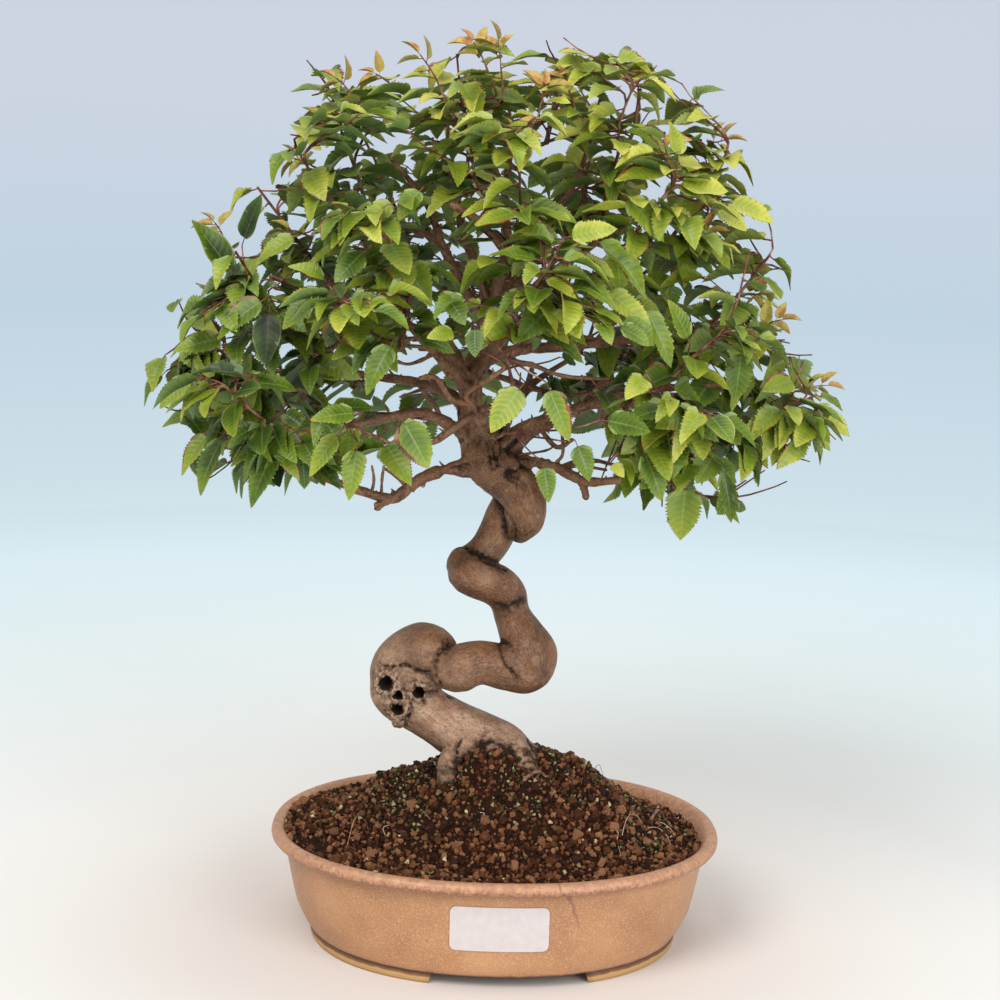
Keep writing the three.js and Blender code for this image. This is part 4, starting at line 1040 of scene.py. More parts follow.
def barkMaterial():
    # hornbeam bark: thin, smooth and hard, grey-brown with fine pale streaks along the wood, satin where it
    # is tight over the muscle, dark in the folds with painted shade and dirt, and mossy there
    bark, add, shader, _ = newMaterial("smoothHornbeamBark", {"Specular IOR Level": 0.32})
    grain = add("ShaderNodeAttribute", attribute_name="grain").outputs["Vector"]
    look = add("ShaderNodeAttribute", attribute_name="barkLook").outputs["Vector"]
    shadeAndDirt, moss, scar = add("ShaderNodeSeparateXYZ", {"Vector": look}).outputs
    place = add("ShaderNodeTexCoord").outputs["Object"]
    across, _, height = add("ShaderNodeSeparateXYZ", {"Vector": place}).outputs
    # warm brown above, cool and pale on the old wood below
    broad = add("ShaderNodeTexNoise", {"Vector": place, "Scale": 55.0, "Detail": 4.0, "Roughness": 0.6})
    colour = add("ShaderNodeValToRGB", {0: broad}, [(0.32, "#55341f"), (0.50, "#785036"), (0.68, "#936946")])
    pale = add("ShaderNodeValToRGB", {0: broad}, [(0.32, "#785640"), (0.50, "#a17c63"), (0.68, "#c09e84")])
    level = add("ShaderNodeMath", {0: across, 1: 0.4, 2: height}, operation="MULTIPLY_ADD")
    lowShare = add("ShaderNodeMapRange", {0: level, 1: 0.120, 2: 0.158, 3: 1.0, 4: 0.0})
    legShare = add("ShaderNodeMapRange", {0: height, 1: 0.086, 2: 0.112, 3: 0.3})
    paleShare = add("ShaderNodeMath", {0: lowShare, 1: legShare}, operation="MULTIPLY")
    # ashen pink patches, 6 mm wide, and painted shade on the under side
    patches = add("ShaderNodeTexNoise", {"Vector": place, "Scale": 170.0, "Detail": 4.0, "Roughness": 0.65})
    patchShare = add("ShaderNodeMapRange", {0: patches, 1: 0.50, 2: 0.66, 4: 0.36})
    under = add("ShaderNodeAttribute", attribute_name="underside").outputs["Fac"]
    underShare = add("ShaderNodeMath", {0: patches, 1: under}, operation="MULTIPLY")
    # weathered brown flakes on the pale wood, 2 mm wide and 4 mm long
    squeeze = add("ShaderNodeMapping", {"Vector": grain, "Scale": (1.0, 1.0, 0.5)})
    flakes = add("ShaderNodeTexNoise", {"Vector": squeeze, "Scale": 0.5, "Detail": 5.0, "Roughness": 0.72})
    flakeReach = add("ShaderNodeMapRange", {0: flakes, 1: 0.49, 2: 0.60, 4: 0.62})
    flakeShare = add("ShaderNodeMath", {0: flakeReach, 1: lowShare}, operation="MULTIPLY")
    # pale and dark flecks, 0.8 mm wide and 2 mm long
    streak = add("ShaderNodeTexNoise", {"Vector": squeeze, "Scale": 1.25, "Detail": 3.0, "Roughness": 0.65})
    fleckShare = add("ShaderNodeValToRGB", {0: streak}, [(0.52, 0.0), (0.68, 0.32)])
    dimShare = add("ShaderNodeValToRGB", {0: streak}, [(0.30, 0.68), (0.46, 0.0)])
    # dark breathing pores, about 3.5 mm apart
    pores = add("ShaderNodeTexVoronoi", {"Vector": squeeze, "Scale": 0.28})
    poreShare = add("ShaderNodeValToRGB", {0: pores.outputs["Distance"]}, [(0.06, 0.8), (0.13, 0.0)])
    # the scar: pale corky rims and dark cracks
    crack = add("ShaderNodeTexNoise", {"Vector": place, "Scale": 420.0, "Detail": 5.0, "Roughness": 0.7})
    corky = add("ShaderNodeValToRGB", {0: crack}, [(0.36, "#2c1e15"), (0.47, "#735843"), (0.60, "#b59a84")])
    # painted shade and dirt in and around the folds, brown around them and near black in them; moss near the
    # soil
    foldNoise = add("ShaderNodeTexNoise", {"Vector": place, "Scale": 480.0, "Detail": 5.0, "Roughness": 0.75})
    foldReach = add("ShaderNodeMath", {0: foldNoise, 1: 2.6, 2: shadeAndDirt}, operation="MULTIPLY_ADD")
    shadeAndDirtShare = add("ShaderNodeMapRange", {0: foldReach, 1: 1.45, 2: 2.2, 4: 0.75})
    foldShadeShare = add("ShaderNodeMapRange", {0: foldReach, 1: 1.85, 2: 2.45, 4: 0.94})
    mossReach = add("ShaderNodeMath", {0: crack, 1: 3.0, 2: moss}, operation="MULTIPLY_ADD")
    mossShare = add("ShaderNodeMapRange", {0: mossReach, 1: 1.9, 2: 2.45, 4: 0.85})
    layers = [
        (paleShare, pale), (patchShare, "#9c7b62"), (underShare, "#3c2413"), (flakeShare, "#755540"),
        (fleckShare, "#c6a27e"), (dimShare, "#432a1c"), (poreShare, "#3d271c"), (scar, corky),
        (shadeAndDirtShare, "#4f3220"), (foldShadeShare, "#1d120a"), (mossShare, "#4a4626"),
    ]
    for share, tint in layers:
        colour = add("ShaderNodeMix", {0: share, 1: colour, 2: tint}, data_type="RGBA")
    joinSocket(colour, shader, "Base Color")
    dull = add("ShaderNodeMath", {0: foldShadeShare, 1: scar}, operation="MAXIMUM")
    joinSocket(add("ShaderNodeMapRange", {0: dull, 3: 0.46, 4: 0.9}), shader, "Roughness")
    relief = add("ShaderNodeMath", {0: crack, 1: 0.5, 2: streak}, operation="MULTIPLY_ADD")
    bump = add("ShaderNodeBump", {"Height": relief, "Strength": 0.42, "Distance": 0.0006})
    joinSocket(bump, shader, "Normal")
    return bark


def swellOfBark(stepShare):
    def relief(angle, i):
        k = i * stepShare
        return 1 + 0.035 * np.sin(2 * angle + k * 0.7) + 0.02 * np.sin(5 * angle - k * 0.9)

    return relief


def makeOneSkin(piece):
    skin = piece.modifiers.new("oneSkin", "REMESH")
    skin.mode = "VOXEL"
    skin.voxel_size = barkForm["voxel"] * millimetre


def makeTrunk(bark):
    points, faces, runs = [], [], []
    steps = barkForm["steps"]

    def sweep(run, sides, window, relief=None):
        made, joined = tubeMesh(run, sides, window, relief, firstPoint=len(points))
        points.extend(made)
        faces.extend(joined)
        runs.append((run, window))

    for name, sweepPoints in trunkSweeps.items():
        window = steps // 2 if name == "crown" else steps
        sweep(smoothRun(sweepPoints, steps), barkForm["sides"], window, swellOfBark(2 / steps))
    for sweepPoints in rootSweeps:
        sweep(smoothRun(sweepPoints, steps), 16, 3)
    for run in fineLimbs:
        thick = run[run[:, 3] > barkForm["thickLimb"]]
        if len(thick) > 3:
            sweep(thick, 14, 3)
    trunk = makePiece("trunk_bark", points, faces, [])
    makeOneSkin(trunk)
    cutters = []
    for (x, y, z), radius in scarHoles:
        narrow = [x + 0.6, y + barkForm["holeDepth"], z, radius * 0.55]
        run = [[x, y - 7, z, radius * 1.12], [x, y + 1, z, radius * 0.98], narrow]
        cutters.append(bore(trunk, run, 18))
    makeOneSkin(trunk)
    settle(trunk, cutters)
    mesh = trunk.data
    edges = np.zeros(len(mesh.edges) * 2, np.int32)
    mesh.edges.foreach_get("vertices", edges)
    edges = edges.reshape(-1, 2)
    place = smoothed(fromMetres(pointsOf(mesh)), edges, 3, 0.6)
    mesh.vertices.foreach_set("co", toMetres(place).ravel())
    mesh.update()
    normal = pointsOf(mesh, "normal")
    grain, thick = grainAt(place, runs)
    # how far each point lies in a fold
    hollow = np.einsum("ij,ij->i", smoothed(place, edges, 14) - place, normal)
    hollow += 0.5 * np.einsum("ij,ij->i", smoothed(place, edges, 60) - place, normal)
    # painted shade in the hollows, and painted shade and dirt at the places listed above
    shadeAndDirt = np.clip(hollow * 1.15 - 0.12, 0, 1.2) + nearPlaces(place, shadeAndDirtPlaces) * 0.5
    scar, rim = np.zeros(len(place)), np.zeros(len(place))
    facing = np.clip(-normal[:, 1] * 2 + 0.2, 0, 1)
    for (x, y, z), radius in scarHoles:
        away = np.hypot(place[:, 0] - x, place[:, 2] - z)
        near = (np.abs(place[:, 1] - y) < 11) * facing
        scar = np.maximum(scar, np.exp(-((np.clip(away - radius * 1.3, 0, None) / 4.2) ** 2)) * near)
        ridge = np.exp(-((away - radius * 1.42) ** 2)) - 0.6 * np.exp(-(((away - radius * 2) / 0.9) ** 2))
        rim += ridge * near
        # painted shade inside the holes
        shadeAndDirt += 1.2 * (away < radius * 1.02) * near
    knob = np.linalg.norm(place - np.array(barkForm["knobMiddle"]), axis=1)
    scar += 0.8 * np.exp(-((knob / 7) ** 2)) + 0.5 * nearPlaces(place, scarPlaces)
    scar = np.clip(scar, 0, 1)
    cut, dark = foldsOn(place, [tuple(face.vertices) for face in mesh.polygons])
    # painted shade along the folds
    shadeAndDirt += dark * (0.75 + 0.5 * grit(place, 2.0, 41))
    dirt = np.clip(1 - (place[:, 2] - moundHeightAt(place[:, 0], place[:, 1])) / barkForm["dirtReach"], 0, 1)
    shadeAndDirt += 1.2 * dirt * np.clip(grit(place, 2.4, 31) + 0.45, 0, 1)
    lengthwise = grain * np.array([1, 1, 0.3])
    depth = barkForm["swell"] * grit(place, 13, 4)
    depth += barkForm["wrinkle"] * grit(lengthwise, 2.2, 5) * np.clip(thick / 8, 0.4, 1)
    depth += barkForm["scar"] * scar * (np.abs(grit(place, 2.6, 6)) * 2 - 0.7)
    depth += rim - cut
    blend, (forkLow, forkHigh) = barkForm["blend"], barkForm["fork"]
    footing = np.clip((barkForm["footTop"] - place[:, 2]) / blend, 0, 1)
    depth += footing * (0.9 * grit(lengthwise, 5.5, 13) + 0.5 * grit(place, 3.6, 14))
    fork = np.clip((place[:, 2] - forkLow) / blend, 0, 1) * np.clip(1 - (place[:, 2] - forkHigh) / 40, 0, 1)
    fissured = np.clip(grit(lengthwise, 3.4, 7) - 0.05, 0, 1)
    depth += fork * (0.8 * grit(place, 5.5, 7) + 0.5 * grit(place, 2.4, 8) - 1.9 * fissured)
    depth -= 0.35 * np.clip(shadeAndDirt, 0, 1) * np.clip(0.4 + grit(place, 3, 9), 0, 1)
    place = place + normal * depth[:, None]
    mesh.vertices.foreach_set("co", toMetres(place).ravel())
    mesh.update()
    # painted shade in the fissures of the fork; darker toward the foot, in streaks along the wood
    shadeAndDirt += fork * (fissured + 0.25 * np.clip(grit(place, 5.5, 12), 0, 1))
    shadeAndDirt += 0.35 * footing + 0.55 * footing * np.clip(-grit(lengthwise, 5.5, 13) - 0.1, 0, 1)
    moss = nearPlaces(place, mossPlaces) + 0.4 * dirt * np.clip(grit(place, 6, 21) + 0.4, 0, 1)
    look = np.column_stack([np.clip(shadeAndDirt, 0, 1.5), np.clip(moss, 0, 1), scar])
    storeValues(mesh, "grain", "FLOAT_VECTOR", grain)
    # painted shade on the under side, the stronger the more the bark faces down
    storeValues(mesh, "underside", "FLOAT", np.clip(-normal[:, 2] * 1.5 - 0.1, 0, 1.2))
    storeValues(mesh, "barkLook", "FLOAT_VECTOR", look)
    mesh.materials.clear()
    mesh.materials.append(bark)
    mesh.shade_smooth()
    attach(trunk, "root")
    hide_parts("trunk")
    print("bonsai: trunk bark", len(mesh.polygons), "faces")


bark = barkMaterial()
makeTrunk(bark)


# Shoots: the rule of the part's source, with the same draws, so that each blade keeps its place
canopyForm = {
    "centre": (-6, 2, 288),
    "depthRatio": 0.76,
    "bottom": 238,
    "top": 479,
    "underLift": 50,
    "shoots": 43,
    "leaves": (7, 6, 6),
    "twigRadius": 1.05,
    "twigStart": 0.3,
    "profile": [
        (118, 238), (158, 250), (184, 282), (162, 335), (142, 388), (118, 432), (84, 457), (36, 479),
    ],
}
canopyCentre = np.array(canopyForm["centre"], float)
goldenTurn = 2.399963  # radians, from one shoot to the next


def onCanopy(share):
    profile = np.array(canopyForm["profile"], float)
    spans = [math.dist(a, b) * (a[0] + b[0]) for a, b in zip(profile, profile[1:])]
    left = share * sum(spans)
    i = 0
    while i < len(spans) - 1 and left > spans[i]:
        left -= spans[i]
        i += 1
    return profile[i] + (profile[i + 1] - profile[i]) * (left / spans[i])


limbTips = np.concatenate([run[1:, :3] for run in limbRuns])
limbWays = np.concatenate([[unit(b - a) for a, b in zip(run[:, :3], run[1:, :3])] for run in limbRuns])
limbGirths = np.concatenate([run[1:, 3] for run in limbRuns])
limbNumbers = np.concatenate([[i] * (len(run) - 1) for i, run in enumerate(limbRuns)])


def limbNearest(base):
    way = base - limbTips
    reach = np.linalg.norm(way, axis=1)
    lean = np.einsum("ij,ij->i", way, limbWays) / reach
    best = int(np.argmin(reach * (1.35 - 0.6 * lean) + 4 / limbGirths))
    return limbTips[best], limbWays[best], limbGirths[best], int(limbNumbers[best])


def canopyEdge(share, angle):
    reach, height = onCanopy(share)
    depth = (canopyForm["top"] - height) / (canopyForm["top"] - canopyForm["bottom"])
    lift = canopyForm["underLift"] * abs(math.sin(angle)) ** 1.5 * depth**2
    across, back = reach * math.cos(angle), reach * canopyForm["depthRatio"] * math.sin(angle)
    return np.array([canopyCentre[0] + across, canopyCentre[1] + back, height + lift])


def shootPlan(index, trial):
    draw = draws(index * 131 + trial * 17)
    share = (index + 0.35 + 0.3 * draw()) / canopyForm["shoots"]
    edge = canopyEdge(share**0.94, index * goldenTurn + 0.5 * (draw() - 0.5) + trial * 0.25)
    out = unit(edge - canopyCentre)
    sway = np.array([draw() - 0.5, draw() - 0.5, draw() * 0.5])
    axis = unit(out + sway * 0.55 + up * 0.12)
    reach = 44 + 16 * draw()
    plan = {"index": index, "base": edge - axis * (reach + 12), "axis": axis, "out": out, "reach": reach}
    return {**plan, "leaves": canopyForm["leaves"][index % 3]}


def twigRun(plan):
    draw = draws(plan["index"] * 57 + 5000)
    side = unit(np.cross(plan["axis"], up))
    lift = 0.1 if plan["axis"][2] > 0.3 else -0.06
    run = []
    for k in range(4):
        t = k / 3
        sway = 0 if k == 0 else (1 if k % 2 == 0 else -1) * (1 + draw())
        along = canopyForm["twigStart"] + t * plan["reach"]
        point = plan["base"] + plan["axis"] * along + side * sway + up * (lift * plan["reach"] * t * t)
        run.append([*point, canopyForm["twigRadius"] - 0.4 * t])
    return np.array(run)


def runPoint(run, t):
    place = min(t, 0.9999) * (len(run) - 1)
    i = int(place)
    return run[i, :3] + (run[i + 1, :3] - run[i, :3]) * (place - i), unit(run[i + 1, :3] - run[i, :3])


def turned(v, axis, angle):
    c, s = math.cos(angle), math.sin(angle)
    return v * c + np.cross(axis, v) * s + axis * axis.dot(v) * (1 - c)


# One blade on a twig: where it sits, which way it points, and its size
def leafPlan(draw, run, out, k, count, trial=0, shrink=1.0, hold=None):
    last = k == count - 1
    t = 0.985 if last else 0.1 + 0.84 * (k + 0.3 * draw()) / (count - 1)
    point, heading = runPoint(run, t)
    flat = unit(np.cross(heading, out if abs(heading[2]) > 0.85 else up))
    roll = (draw() - 0.5) * 0.9 + trial * 0.55 * (1 if trial % 2 == 0 else -1)
    across = turned(flat, heading, roll + (0 if k % 2 == 0 else math.pi))
    spread = 0.15 if last else 0.85 + 0.3 * draw()
    forward = 1 if last else 0.5 + 0.35 * draw()
    hang = 0.2 + 0.6 * draw()
    if hold is not None:  # blades in the upper crown lie flatter than the rule's
        hang = hold + 0.55 * (hang - 0.5)
    wanted = heading * forward + across * spread
    tip = unit([wanted[0], wanted[1], wanted[2] * 0.4 - hang])
    facing = up + out * 0.7 + np.array([draw() - 0.5, draw() - 0.5, draw() - 0.5]) * 1.1
    normal = unit(facing - tip * facing.dot(tip))
    size = ((19 if last else 27.5 - 4 * t) + 5 * draw()) * shrink
    width = size * (0.54 + 0.06 * draw())
    fold = 0.1 + 0.2 * draw()
    return {"point": point, "tip": tip, "normal": normal, "size": size, "width": width, "fold": fold}


def nodePoints(name):
    piece = bpy.data.objects[name]
    points = np.zeros(len(piece.data.vertices) * 3)
    piece.data.vertices.foreach_get("co", points)
    place = np.array(piece.matrix_world)
    return fromMetres(points.reshape(-1, 3) @ place[:3, :3].T + place[:3, 3])


def gapTo(points, place):
    return float(np.linalg.norm(points - place, axis=1).min())


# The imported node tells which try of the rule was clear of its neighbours
def shootOf(index):
    packed = nodePoints(f"shoot_{index + 1:02d}")
    for trial in range(12):
        plan = shootPlan(index, trial)
        run = twigRun(plan)
        axis = plan["axis"]
        side = unit(np.cross(axis, up if abs(axis[2]) < 0.9 else [1, 0, 0]))
        if gapTo(packed, run[0, :3] + side * canopyForm["twigRadius"]) < 0.25:
            break
    else:
        return None
    leaves = []
    for k in range(plan["leaves"]):
        for trial in range(9):
            draw = draws(index * 977 + k * 61 + trial * 7 + 20000)
            leaf = leafPlan(draw, run, plan["out"], k, plan["leaves"], trial)
            if gapTo(packed, leaf["point"] + (leaf["tip"] - leaf["normal"] * 0.2) * leaf["size"]) < 0.3:
                leaves.append(leaf)
                break
    point, heading, girth, limb = limbNearest(plan["base"])
    plan |= {"from": point, "heading": heading, "girth": girth, "limb": limb}
    return {**plan, "run": run, "blades": leaves}


shoots = [shoot for shoot in (shootOf(i) for i in range(canopyForm["shoots"])) if shoot]
print("bonsai:", len(shoots), "shoots found,", sum(len(s["blades"]) for s in shoots), "blades")


def bent(a, b, c, d, steps, radii, wiggle=0.0, seed=0):  # a cubic curve with a little unevenness
    t = np.linspace(0, 1, steps + 1)[:, None]
    points = (1 - t) ** 3 * a + 3 * t * (1 - t) ** 2 * b + 3 * t * t * (1 - t) * c + t**3 * d
    if wiggle:
        draw = draws(seed)
        offsets = np.array([[draw() - 0.5 for _ in range(3)] for _ in range(steps + 1)]) * 2 * wiggle
        points = points + offsets * np.minimum(1, 4 * t * (1 - t))
    girth = radii[0] + (radii[1] - radii[0]) * t
    return np.hstack([points, girth])


def branchletOf(shoot):
    start, end = shoot["from"], shoot["base"]
    gap = np.linalg.norm(end - start)
    leave, arrive = start + shoot["heading"] * gap * 0.34, end - shoot["axis"] * gap * 0.36
    radii = (min(shoot["girth"] * 0.8, 2.4), canopyForm["twigRadius"])
    return bent(start, leave, arrive, end, max(5, round(gap / 8)), radii, 0.9, shoot["index"] + 400)


for shoot in shoots:
    shoot["branchlet"] = branchletOf(shoot)


# Outline of the foliage in the photograph, and the places in it that are seen through, in pixels
canopyOutline = [
    (141, 403), (133, 388), (168, 345), (160, 312), (190, 285), (214, 264), (246, 242), (292, 228),
    (265, 160), (280, 130), (302, 110), (305, 60), (330, 55), (360, 60), (400, 34), (440, 36), (462, 18),
    (500, 18), (535, 40), (585, 46), (640, 48), (660, 68), (725, 82), (712, 125), (745, 136), (740, 178),
    (775, 220), (750, 240), (780, 290), (803, 313), (780, 335), (803, 365), (848, 376), (856, 438),
    (835, 456), (808, 486), (760, 492), (735, 525), (706, 512), (682, 542), (655, 515), (640, 490),
    (585, 490), (552, 500), (530, 480), (440, 470), (418, 474), (374, 445), (350, 502), (308, 488),
    (300, 478), (250, 510), (225, 470), (198, 497), (178, 478), (190, 430), (155, 412),
]
seenThrough = [
    [(398, 350), (446, 348), (468, 395), (466, 470), (436, 452), (430, 392), (398, 385)],
    [(424, 470), (474, 470), (600, 545), (560, 610), (480, 600), (425, 500)],
    [(356, 452), (398, 428), (440, 462), (410, 500), (380, 510), (352, 490)],
]
woodInFront = [
    (432, 380), (462, 345), (530, 340), (572, 368), (612, 432), (600, 478), (545, 505), (470, 490),
    (436, 452),
]


def insideOf(u, v, outline):
    inside = False
    for (ua, va), (ub, vb) in zip(outline, outline[1:] + outline[:1]):
        if (va > v) != (vb > v) and u < ua + (ub - ua) * (v - va) / (vb - va):
            inside = not inside
    return inside


def middleOf(leaf):
    return leaf["point"] + leaf["tip"] * leaf["size"] * 0.6


def keptLeaf(leaf):
    middle = middleOf(leaf)
    end = leaf["point"] + (leaf["tip"] - leaf["normal"] * 0.2) * leaf["size"]
    low, high = fromMetres(np.array(cadBox))
    if np.any(end < low + 1) or np.any(end > high - 1):
        return False
    for place in (middle, end):
        u, v = onPicture(place[None])[0]
        if not insideOf(u, v, canopyOutline) or any(insideOf(u, v, gap) for gap in seenThrough):
            return False
    return not hidesWood(leaf)


def hidesWood(leaf):
    places = np.array([leaf["point"] + leaf["tip"] * leaf["size"] * t for t in (0.3, 0.6, 1)])
    return any(p[1] < 12 and insideOf(*pixel, woodInFront) for p, pixel in zip(places, onPicture(places)))


# Everything a leafy side twig can grow from: place, heading, girth, shoot number
woodPlaces = []
for number, shoot in enumerate(shoots):
    for run, share in ((shoot["branchlet"], 0.35), (shoot["run"], 0.0)):
        for t in np.linspace(share, 0.97, max(3, len(run) if share else 8)):
            point, heading = runPoint(run, t)
            woodPlaces.append((*point, *heading, 0.9, number))
woodPlaces = np.array(woodPlaces)
limbOwners = {}
for number, shoot in enumerate(shoots):
    limbOwners.setdefault(shoot["limb"], []).append(number)


def sprigTo(target, seed, longest):
    way = target - woodPlaces[:, :3]
    reach = np.linalg.norm(way, axis=1)
    lean = np.einsum("ij,ij->i", way, woodPlaces[:, 3:6]) / np.maximum(reach, 1e-6)
    best = int(np.argmin(reach * (1.3 - 0.45 * lean) + 60 * (reach < 9)))
    gap = reach[best]
    if gap > longest:
        return None
    start, heading = woodPlaces[best, :3], woodPlaces[best, 3:6]
    aim = unit(unit(way[best]) + up * 0.25)
    leave, arrive = start + heading * gap * 0.3, target - aim * gap * 0.35
    run = bent(start, leave, arrive, target, max(3, round(gap / 7)), (0.68, 0.36), 0.5, seed)
    return run, int(woodPlaces[best, 7])


foliageForm = {
    "sprigs": 300,
    "sprigReach": 46,
    "depths": (1.0, 0.9, 0.76, 0.95, 0.62),
    "leaves": (5, 4, 6),
    "twigFaces": 4,
    "scorched": 0.4,
    # how far blades hang by their height: drooping low down, flat at the top
    "hang": [(250, 0.62), (300, 0.38), (360, 0.12), (440, -0.05)],
}


# How light a blade's green is: lighter toward the top, the right and the outside of the crown, with a random
# spread; partly the blades' own colour, partly painted light, with painted shade inside the crown
def toneAndLightAt(place, draw):
    x, z = place[0], place[2]
    outward = np.linalg.norm((place - canopyCentre) / np.array([175, 132, 180]))
    tone = 0.39 + 0.29 * (z - 250) / 220 + 0.13 * x / 180 + 0.34 * (outward - 0.78)
    return tone + (draw() - 0.5) * 0.46


def holdAt(place):
    return float(np.interp(place[2], *np.array(foliageForm["hang"]).T))


def finishedLeaf(leaf, draw, young=0.0, tone=None, scorch=None, shape=None):
    leaf["tone"] = toneAndLightAt(leaf["point"], draw) if tone is None else tone
    leaf["young"] = young
    if scorch is None:
        scorch = 0.35 + 0.6 * draw() if draw() < foliageForm["scorched"] else 0.15 * draw()
    leaf["scorch"] = scorch * (1 if draw() < 0.5 else -1)
    leaf["width"] *= 0.84 + 0.24 * draw()
    if shape is None:
        shape = min(2, int((leaf["fold"] - 0.1) / 0.0667)) + (3 if draw() < 0.45 else 0)
        if draw() < 0.07:
            shape = 6
    leaf["shape"] = shape
    return leaf


for shoot in shoots:
    draw = draws(shoot["index"] + 31000)
    shoot["blades"] = [finishedLeaf(leaf, draw) for leaf in shoot["blades"] if not hidesWood(leaf)]
    shoot["twigs"] = [shoot["run"]]

added = 0
for n in range(foliageForm["sprigs"]):
    draw = draws(n * 173 + 60000)
    share = ((n + draw()) / foliageForm["sprigs"]) ** 0.92
    edge = canopyEdge(min(share, 0.999), n * goldenTurn + 0.6 * draw())
    depth = foliageForm["depths"][n % 5] + 0.06 * (draw() - 0.5)
    grown = sprigTo(canopyCentre + (edge - canopyCentre) * depth, n + 9000, foliageForm["sprigReach"])
    if not grown:
        continue
    run, owner = grown
    out = unit(run[-1, :3] - canopyCentre)
    count = foliageForm["leaves"][n % 3]
    kept = []
    for k in range(count):
        leaf = leafPlan(draw, run, out, k, count, shrink=0.78 + 0.3 * draw(), hold=holdAt(run[-1]))
        if keptLeaf(leaf):
            kept.append(finishedLeaf(leaf, draw))
    if len(kept) > 1:
        shoots[owner]["blades"] += kept
        shoots[owner]["twigs"].append(run)
        added += len(kept)
print("bonsai:", added, "blades on side twigs")

# Young tips: reddish twigs that stick out of the canopy, from one pixel to another, with small leaves
youngTips = [
    ((371, 121), (325, 64), 4), ((325, 173), (277, 151), 4), ((341, 130), (303, 116), 3),
    ((312, 238), (268, 226), 3), ((455, 117), (411, 38), 5), ((497, 95), (466, 25), 4),
    ((503, 98), (497, 24), 4), ((540, 110), (548, 68), 2), ((686, 157), (741, 133), 4),
    ((700, 256), (712, 212), 5), ((735, 343), (795, 312), 5), ((771, 403), (842, 380), 5),
    ((606, 203), (684, 136), 3), ((507, 157), (523, 117), 3), ((234, 257), (206, 207), 2),
    ((357, 312), (320, 325), 3), ((730, 300), (772, 290), 3), ((395, 90), (362, 62), 3),
    ((575, 110), (560, 60), 3), ((640, 110), (636, 58), 2),
]
# Leaves that stand out in the photograph: stalk and tip in pixels, width in mm, tone, scorch, shape
featureLeaves = [
    ((525, 382), (491, 432), 17, 0.66, 0.1, 0), ((546, 382), (569, 440), 14, 0.55, 0.9, 1),
    ((543, 462), (549, 501), 13, 0.45, 0.1, 2), ((569, 291), (518, 341), 19, 0.34, 0.2, 0),
    ((588, 235), (648, 291), 12, 0.5, 1.0, 3), ((620, 192), (664, 240), 16, 0.6, 0.4, 1),
    ((599, 287), (651, 327), 15, 0.68, 0.2, 0), ((686, 480), (680, 539), 18, 0.56, 0.1, 1),
    ((718, 448), (697, 482), 17, 0.5, 0.1, 2), ((721, 462), (732, 521), 11, 0.34, 0.3, 3),
    ((806, 403), (850, 435), 13, 0.86, 0.1, 1), ((795, 410), (830, 451), 11, 0.6, 0.1, 0),
    ((742, 345), (735, 401), 14, 0.42, 0.1, 0), ((723, 201), (773, 221), 13, 0.86, 0.0, 1),
    ((715, 206), (746, 231), 11, 0.8, 0.2, 0), ((690, 101), (719, 86), 10, 0.34, 0.1, 4),
    ((585, 62), (557, 63), 10, 0.62, 0.2, 2), ((611, 56), (653, 69), 11, 0.7, 0.5, 4),
    ((609, 70), (561, 72), 9, 0.75, 0.1, 1), ((236, 280), (191, 221), 16, 0.22, 0.0, 6),
    ((242, 246), (263, 194), 11, 0.08, 0.1, 6), ((270, 306), (266, 366), 17, 0.0, 0.0, 6),
    ((221, 303), (185, 317), 12, 0.34, 0.1, 6), ((270, 296), (217, 337), 16, 0.36, 0.8, 1),
    ((228, 338), (174, 351), 15, 0.5, 0.1, 0), ((252, 377), (191, 369), 12, 0.12, 0.1, 3),
    ((166, 371), (142, 402), 10, 0.4, 0.3, 3), ((195, 374), (160, 408), 13, 0.62, 0.2, 0),
    ((197, 384), (190, 416), 8, 0.55, 0.2, 3), ((211, 428), (181, 474), 11, 0.6, 0.8, 1),
    ((228, 429), (198, 493), 13, 0.34, 0.4, 2), ((280, 439), (250, 506), 17, 0.36, 0.3, 1),
    ((302, 455), (305, 488), 11, 0.3, 0.2, 2), ((343, 428), (310, 476), 12, 0.6, 0.1, 0),
    ((358, 442), (349, 498), 14, 0.54, 0.2, 2), ((400, 416), (428, 468), 20, 0.46, 1.0, 0),
    ((395, 338), (366, 393), 16, 0.44, 0.1, 1), ((362, 413), (311, 420), 13, 0.44, 0.2, 0),
    ((400, 199), (352, 236), 13, 0.66, 0.1, 1), ((367, 249), (335, 282), 15, 0.3, 0.1, 0),
    ((475, 325), (475, 357), 11, 0.3, 0.0, 0), ((442, 290), (465, 324), 15, 0.4, 0.1, 1),
    ((458, 332), (427, 338), 10, 0.66, 0.1, 0), ((424, 187), (398, 218), 13, 0.5, 0.1, 2),
    ((328, 283), (295, 263), 10, 0.6, 0.5, 4), ((317, 296), (283, 329), 15, 0.36, 0.1, 0),
    ((301, 234), (256, 263), 11, 0.6, 0.1, 1), ((250, 423), (201, 413), 8, 0.7, 0.2, 3),
    ((611, 462), (624, 477), 7, 0.9, 0.3, 1), ((690, 345), (668, 300), 12, 0.5, 0.1, 0),
    ((575, 440), (590, 480), 14, 0.4, 0.1, 2), ((640, 445), (662, 500), 13, 0.42, 0.3, 1),
    ((600, 420), (650, 432), 15, 0.34, 0.1, 0), ((640, 300), (672, 366), 12, 0.5, 0.1, 1),
]


def frontDepth(u, v, share=0.9):  # how far forward the canopy's surface lies at a pixel
    x, _, z = fromPicture(u, v, 0)
    reach = np.interp(z, [h for _, h in canopyForm["profile"]], [r for r, _ in canopyForm["profile"]])
    room = max((reach * share) ** 2 - (x - canopyCentre[0]) ** 2, 0)
    return canopyCentre[1] - canopyForm["depthRatio"] * math.sqrt(room)


